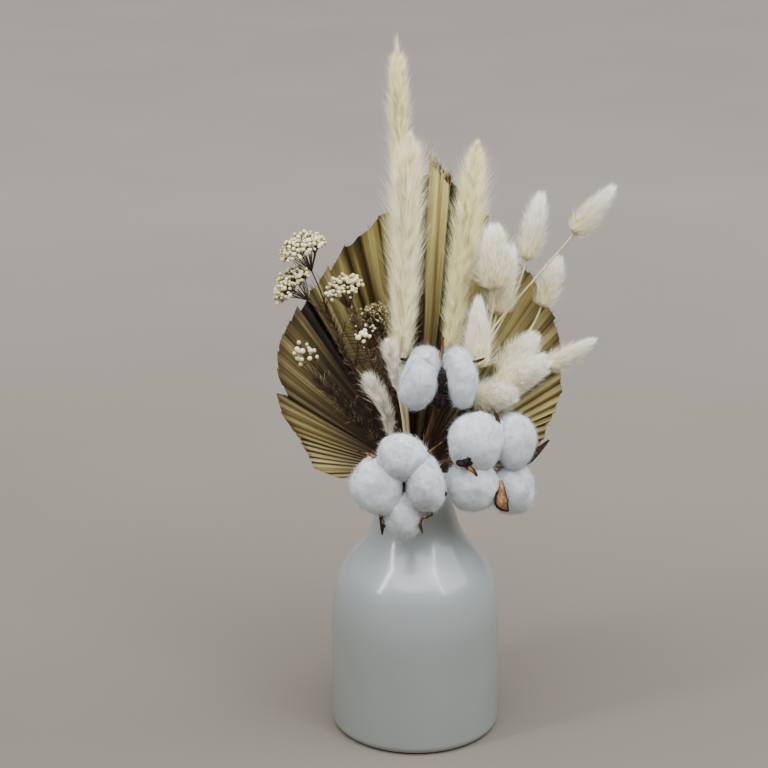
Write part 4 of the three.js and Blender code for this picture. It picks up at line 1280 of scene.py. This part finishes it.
def add_fibres(bodies, placed, boll, lock, count, lengths, rise, radius, rings, rng):
    """Fibres rooted all over a lock where it is open to the air, lying along its swirls."""
    roots = placed[rng.integers(0, len(placed), count)] + rng.normal(0, 0.5, (count, 3))
    normals = unit(roots - placed.mean(axis=0))
    levels = [lock_level(roots, boll, other) for other in other_locks(boll, lock)]
    open_air = np.min(levels, axis=0) >= OPEN_LEVEL
    roots, normals = roots[open_air], normals[open_air]
    count = len(roots)
    wander = swirls(roots) + rng.normal(0, 0.75, (count, 3))
    flat = unit(wander - normals * np.sum(wander * normals, axis=1, keepdims=True))
    directions = unit(flat + normals * rng.uniform(*rise, (count, 1)))
    curl = -normals * rng.uniform(0, 0.3, (count, 1)) + rng.normal(0, 0.2, (count, 3))
    lengths = rng.uniform(*lengths, count)
    curl = curl * (rings > 1)
    add_hairs(bodies, roots - 0.5 * normals, directions, lengths, radius, curl, rings, (0.5, 0.5))


def cotton(name, boll, look):
    """A boll's locks, each with a short fuzz all over it and some longer wisps."""
    rng = np.random.default_rng(boll["seed"])
    bodies = Bodies()
    points, triangles = round_ball(4)
    for lock in boll["locks"]:
        placed = lock_points(points, boll, lock)
        bodies.add(placed, triangles)
        for count, lengths, rise, radius, rings in (
            (FUZZ_PER_LOCK, FUZZ_LENGTHS, FUZZ_RISE, FUZZ_RADIUS, 1),
            (WISPS_PER_LOCK, WISP_LENGTHS, WISP_RISE, WISP_RADIUS, 2),
        ):
            add_fibres(bodies, placed, boll, lock, count, lengths, rise, radius, rings, rng)
    bodies.piece(f"cotton_{name}_locks", f"cotton_{name}", [look])


def add_valve(bodies, boll, knots, half_widths, shade):
    """A valve of the burr: a pointed woody leaf from the cup out between the locks, hollow inside."""
    out = boll_axes(boll)[2]
    cup = (0.1 * knots[0][0], boll["cup_level"] / 2, -boll["depth"] - 1)
    spine = smooth_line([boll_point(boll, knot) for knot in (cup, *knots)], 20)
    _, across, side = frames_along(spine, unit(np.cross(out, spine[-1] - spine[0])))
    shares = np.linspace(0, 1, len(spine))[:, None]
    widths = np.interp(shares, np.linspace(0, 1, len(half_widths)), half_widths)
    columns = np.linspace(-1, 1, 7)
    hollow = np.where(side @ out > 0, 0.4, -0.4)[:, None] * widths * columns**2
    middle = spine[:, None] + across[:, None] * (widths * columns)[..., None]
    middle = middle + side[:, None] * hollow[..., None]
    thickness = np.minimum(0.35 + 0.4 * (1 - np.abs(columns)), 0.5 * widths)
    worn = 0.62 - 0.5 * np.abs(columns) ** 3 - 0.35 * shares**3
    add_slab(bodies, middle, side[:, None] * thickness[..., None], worn + shade)


def add_seed(bodies, boll, place, radii):
    """The dark seed and husk that show where the cotton is parted: a rough lump in the gap."""
    points, triangles = ball(18, 12)
    rough = np.array([1 + 0.35 * noise.fractal(Vector(p) * 3.0, 0.9, 2.0, 4) for p in points])
    local = points * rough[:, None] * radii
    bodies.add(boll_point(boll, place) + local @ boll_axes(boll), triangles, 0.05)


def burr(name, boll, looks):
    """The burr: a ribbed woody cup on the boll's stem, with its valves and the seeds that show."""
    back = boll_point(boll, (0, boll["cup_level"], -boll["depth"]))
    points, triangles = ball(30, 16)
    ribs = 1 + CUP_RIB_DEPTH * np.cos(CUP_RIBS * np.arctan2(points[:, 1], points[:, 0]))
    bodies = Bodies()
    bodies.add(back + CUP_RADIUS * points * ribs[:, None], triangles, 0.2)
    arriving = unit(np.array(boll["arriving"], float))
    route = stem_route(boll["slot"], back - 2 * arriving, arriving, boll["bend"])
    add_tube(bodies, route, COTTON_STEM_RADIUS, 10, look=1)
    for valve in boll["valves"]:
        add_valve(bodies, boll, *valve)
    for seed in boll["seeds"]:
        add_seed(bodies, boll, *seed)
    bodies.piece(f"cotton_stem_{name}_burr", f"cotton_stem_{name}", looks)


# Scene

def camera():
    """The photo's view: straight from the front and a little from above."""
    made = bpy.data.cameras.new("camera")
    made.sensor_width = CAMERA_SENSOR
    made.lens = CAMERA_LENS
    placed = in_scene("camera", made)
    pitch = math.radians(CAMERA_PITCH)
    back = np.array([0, -math.cos(pitch), math.sin(pitch)]) * CAMERA_DISTANCE
    placed.location = (np.array(CAMERA_AIM) + back) * MM
    placed.rotation_euler = (math.pi / 2 - pitch, 0, 0)
    bpy.context.scene.camera = placed


def softbox(name, azimuth, elevation, width, height, power):
    """A cool soft area light that aims at the arrangement. Azimuth 0 is the front, 90 its right."""
    made = bpy.data.lights.new(name, "AREA")
    made.shape = "RECTANGLE"
    made.size = width
    made.size_y = height
    made.energy = power
    made.color = WINDOW_LIGHT
    turn, rise = math.radians(azimuth), math.radians(elevation)
    away = Vector((math.sin(turn) * math.cos(rise), -math.cos(turn) * math.cos(rise), math.sin(rise)))
    placed = in_scene(name, made)
    placed.location = Vector((0, 0, LIGHT_AIM)) + away * LIGHT_DISTANCE
    placed.rotation_euler = away.to_track_quat("Z", "Y").to_euler()


def overhead(elevation, azimuth, strength):
    """A broad, very soft light from high in front, that is as strong all over the floor."""
    made = bpy.data.lights.new("overhead", "SUN")
    made.energy = strength
    made.angle = math.radians(OVERHEAD_SPREAD)
    placed = in_scene("overhead", made)
    placed.rotation_euler = (math.radians(90 - elevation), 0, math.radians(azimuth))


def studio():
    """A pale floor without an edge in view, a pale sky that is brighter above, and soft lights."""
    mesh = bpy.data.meshes.new("floor")
    corners = [(x * FLOOR_REACH, y * FLOOR_REACH, 0) for x, y in ((-1, -1), (1, -1), (1, 1), (-1, 1))]
    mesh.from_pydata(corners, [], [(0, 1, 2, 3)])
    mesh.materials.append(floor_material())
    floor = in_scene("floor", mesh)
    world = bpy.data.worlds.new("pale_sky")
    bpy.context.scene.world = world
    sky = Nodes(world, "Background")
    stops = (0.0, (112, 110, 109)), (0.35, (150, 149, 149)), (1.0, (240, 243, 248))
    sky.link(sky.ramp(sky.axis("Z", "Generated"), *stops), "Color")
    sky.inputs["Strength"].default_value = SKY_STRENGTH
    overhead(elevation=74, azimuth=-12, strength=3.3)
    for name, values in SOFTBOXES.items():
        softbox(name, *values)


camera()
studio()
vase()
palm_leaf()

straw = stalk_material("straw_stem", *STRAW)
warm_hair = hair_material("warm_plume_hair", (238, 209, 118), (255, 245, 188))
pale_hair = hair_material("pale_plume_hair", (226, 212, 168), (250, 246, 226))
plume_hairs = {
    "plume_tall": warm_hair,
    "plume_broad": hair_material("plume_hair", (236, 212, 136), (255, 247, 202)),
    "plume_right": warm_hair,
}
for name, values in PLUMES.items():
    plume(name, [plume_hairs.get(name, pale_hair), straw], **values)

tail_hair = hair_material("bunny_tail_hair", (240, 222, 156), (253, 252, 238), 120)
tail_husk = stalk_material("tail_husk", (96, 74, 44), (160, 136, 92))
tail_looks = [tail_hair, tail_stem_material(), tail_husk]
for number, values in enumerate(BUNNY_TAILS, start=1):
    bunny_tail(number, tail_looks, *values)

twig = stalk_material("rice_twig", (40, 26, 18), (92, 66, 44))
rice_looks = [bud_material(), twig, needle_material()]
for name, values in RICE_FLOWERS.items():
    rice_flower(name, rice_looks, **values)

cotton_look = cotton_material()
burr_looks = [burr_material(), stalk_material("cotton_stalk", (54, 34, 22), (112, 78, 50))]
for name, boll in BOLLS.items():
    cotton(name, boll, cotton_look)
    burr(name, boll, burr_looks)
